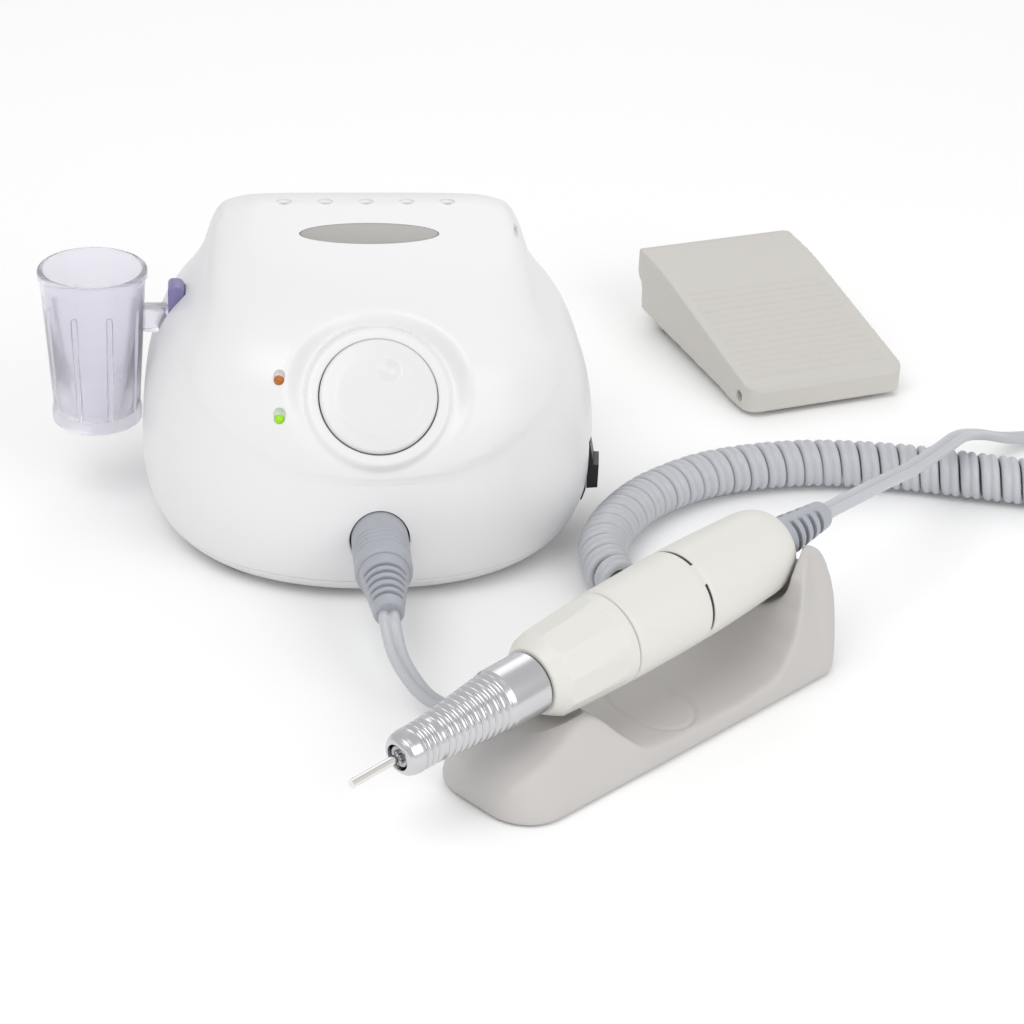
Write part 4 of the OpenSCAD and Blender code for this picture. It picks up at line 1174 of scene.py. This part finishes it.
def add_boot(node, body):
    boot = moulded(node, *BOOT_SKIN, PLUG_GREY)
    return place(shade(boot, 60), body, "grey_cord", node)


def add_plug():
    profile = [(-15, 0), (-15, PLUG_R - 2.5), (-5.5, PLUG_R - 2.5), (-5.5, PLUG_R)]
    for x in np.linspace(-5, 18.6, 160):
        profile.append((x, PLUG_R - groove_depth(x, PLUG_GROOVES, PLUG_GROOVE_DEEP, PLUG_GROOVE_HALF)))
    profile += arc(18.8, PLUG_R - 1.2, 1.2, 90, 0, 6) + [(20, 0)]
    plug = turned("plug_piece", profile, PLUG, PLUG_GREY, 96)
    return place(shade(plug, 50), "set", "grey_cord", "plug")


# Handpiece rest and foot pedal

# Front block: how much narrower it is at its top, that height, its curve and where it fades in
FRONT_DRAFT = 0.42
FRONT_TOP = 20
FRONT_POWER = 1.3
FRONT_FADE = (-18, -30)
# Floor of the cradle: how much lower it is, and where that fades in along and up
FLOOR_DROP = 2.4
FLOOR_FRONT = (-30, -20)
FLOOR_REAR = (30, 20)
FLOOR_UP = (2, 8)
# Wall before the post: how far it stands back at each height, and where that fades in
WALL_BACK = np.array([(0, 11), (11, 11), (17, 9.5), (26, 7), (37, 3), (45, 2)])
WALL_FRONT = (-12, 22)
WALL_REAR = (62, 25)
# Rear post: lean of its sides, its curve and where it fades in along, across and up
POST_LEAN = 7
POST_POWER = 1.6
POST_ALONG = (38, 52)
POST_ACROSS = (8.6, 19.8)
POST_UP = (4, 36)
# Rear post: what is left of its height above POST_Z, and where that fades in
POST_Z = 26
POST_SQUASH = 0.87
POST_TOP = (30, 38)
# Room round the handpiece: distance along its axis and radius
ROOM = np.array([(20, 14), (28, 13.8), (33, 13.2), (36, 12.4), (38, 11.3), (40, 9.8), (42, 8.4)])
# Plain oval groove in the cradle's floor: middle, half sizes, depth and half width
OVAL_AT = (-4, -3)
OVAL_R = (7.5, 14)
OVAL_DEEP = 0.45
OVAL_LINE = 0.6
# Heights between which a point is taken for the floor
FLOOR_Z = (6, 13)


def oval_groove(p):
    x, y = (p[:, 0] - OVAL_AT[0]) / OVAL_R[0], (p[:, 1] - OVAL_AT[1]) / OVAL_R[1]
    e = np.maximum(np.hypot(x, y), 0.1)
    off = (e - 1) * e / np.hypot(x / OVAL_R[0], y / OVAL_R[1])
    floor = (p[:, 2] > FLOOR_Z[0]) & (p[:, 2] < FLOOR_Z[1])
    return np.where(floor, OVAL_DEEP * np.exp(-((off / OVAL_LINE) ** 2)), 0)


def handpiece_room(x, y, z):
    """Moves points that lie where the handpiece lies: down below its axis, aside above it."""
    axis = HP_Z + (x - HP_ALONG) * math.tan(math.radians(HP_RISE))
    radius = np.interp(x - HP_ALONG, ROOM[:, 0], ROOM[:, 1])
    bed = axis - np.sqrt(np.maximum(0, radius**2 - y**2))
    inside = (abs(y) < radius) & (z > bed)
    low = inside & (z < axis)
    return np.where(inside & ~low, np.sign(y) * radius, y), np.where(low, bed, z)


def rest_form(p):
    """Slopes the front block, lowers the floor, sets the rear wall back and leans the post in."""
    p[:, 2] -= oval_groove(p)
    x, y, z = p.T.copy()
    y *= 1 - FRONT_DRAFT * fade(x, *FRONT_FADE) * np.clip(z / FRONT_TOP, 0, 1) ** FRONT_POWER
    z -= FLOOR_DROP * fade(x, *FLOOR_FRONT) * fade(x, *FLOOR_REAR) * fade(z, *FLOOR_UP)
    back = np.interp(z, WALL_BACK[:, 0], WALL_BACK[:, 1])
    x += back * fade(x, *WALL_FRONT) * fade(x, *WALL_REAR)
    outward = fade(abs(y), *POST_ACROSS) * fade(x, *POST_ALONG)
    rise = np.clip((z - POST_UP[0]) / (POST_UP[1] - POST_UP[0]), 0, 1)
    y -= np.sign(y) * POST_LEAN * outward * rise**POST_POWER
    z -= (1 - POST_SQUASH) * fade(x, *POST_TOP) * np.maximum(0, z - POST_Z)
    y, z = handpiece_room(x, y, z)
    return np.column_stack([x, y, z])


def add_rest():
    rest = reshape(moulded("handpiece_rest", *REST_SKIN, REST_GREY), REST, rest_form)
    return place(shade(rest, 60), "set", "rest_rubber", "handpiece_rest")


def add_treadle():
    treadle = moulded("treadle", *TREADLE_SKIN, BONE)
    return place(shade(treadle, 60), "treadle", "bone_plastic", "treadle")


def add_pedal_spring():
    """Copy of the pedal spring, between the base and the treadle."""
    spring = paint(clean(copy_of("pedal_spring")), STEEL)
    shade(spring, 60)
    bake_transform(spring)
    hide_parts("pedal_spring")
    return spring


# Solids that are shown as they are

SHOWN = {
    BLACK_RUBBER: ["box_feet", "pedal_feet"],
    WHITE: ["bur_rack", "rear_panel"],
    STEEL: [
        "knob_shaft", "speed_control", "box_screws", "spindle", "front_bearing", "inner_bearing",
        "middle_bearing", "rear_bearing", "collet", "hinge_pin",
    ],
    BLACK: [
        "jack", "power_rocker", "mains_inlet", "fuse_holder", "pedal_jack", "coupling",
        "brush_left", "brush_right", "pedal_switch", "pedal_gland",
    ],
    IRON: ["transformer", "magnets"],
    BOARD: ["circuit_board"],
    COPPER: ["armature"],
    PHENOLIC: ["brush_holder"],
    BONE: ["pedal_base"],
    RED: ["switch_plunger"],
    PIN_STEEL: ["test_pin"],
}
# Bevel widths of the solids that show sharp edges
ROUNDED = {
    "power_rocker": 0.5,
    "mains_inlet": 0.6,
    "rear_panel": 0.3,
    "fuse_holder": 0.5,
    "pedal_jack": 0.5,
}


def dress_nodes():
    for material, nodes in SHOWN.items():
        for node in nodes:
            paint(frame_node(node), material)
    for node, width in ROUNDED.items():
        add_bevel(frame_node(node), width)


add_camera()
add_light()
plug_piece = add_plug()
plug_boot_piece = add_boot("plug_boot", "set")
add_cords()
add_housing()
add_switch_frame()
add_base()
add_knob()
add_led("amber", AMBER)
add_led("green", GREEN)
add_emblem()
add_cup()
add_clip()
add_nose()
add_sleeve()
add_motor_case()
add_rear_cap()
add_slit_ring()
add_slit_bridges()
add_boot("tail_boot", "handpiece")
add_rest()
add_treadle()
add_pedal_spring()
dress_nodes()

bpy.context.view_layer.update()
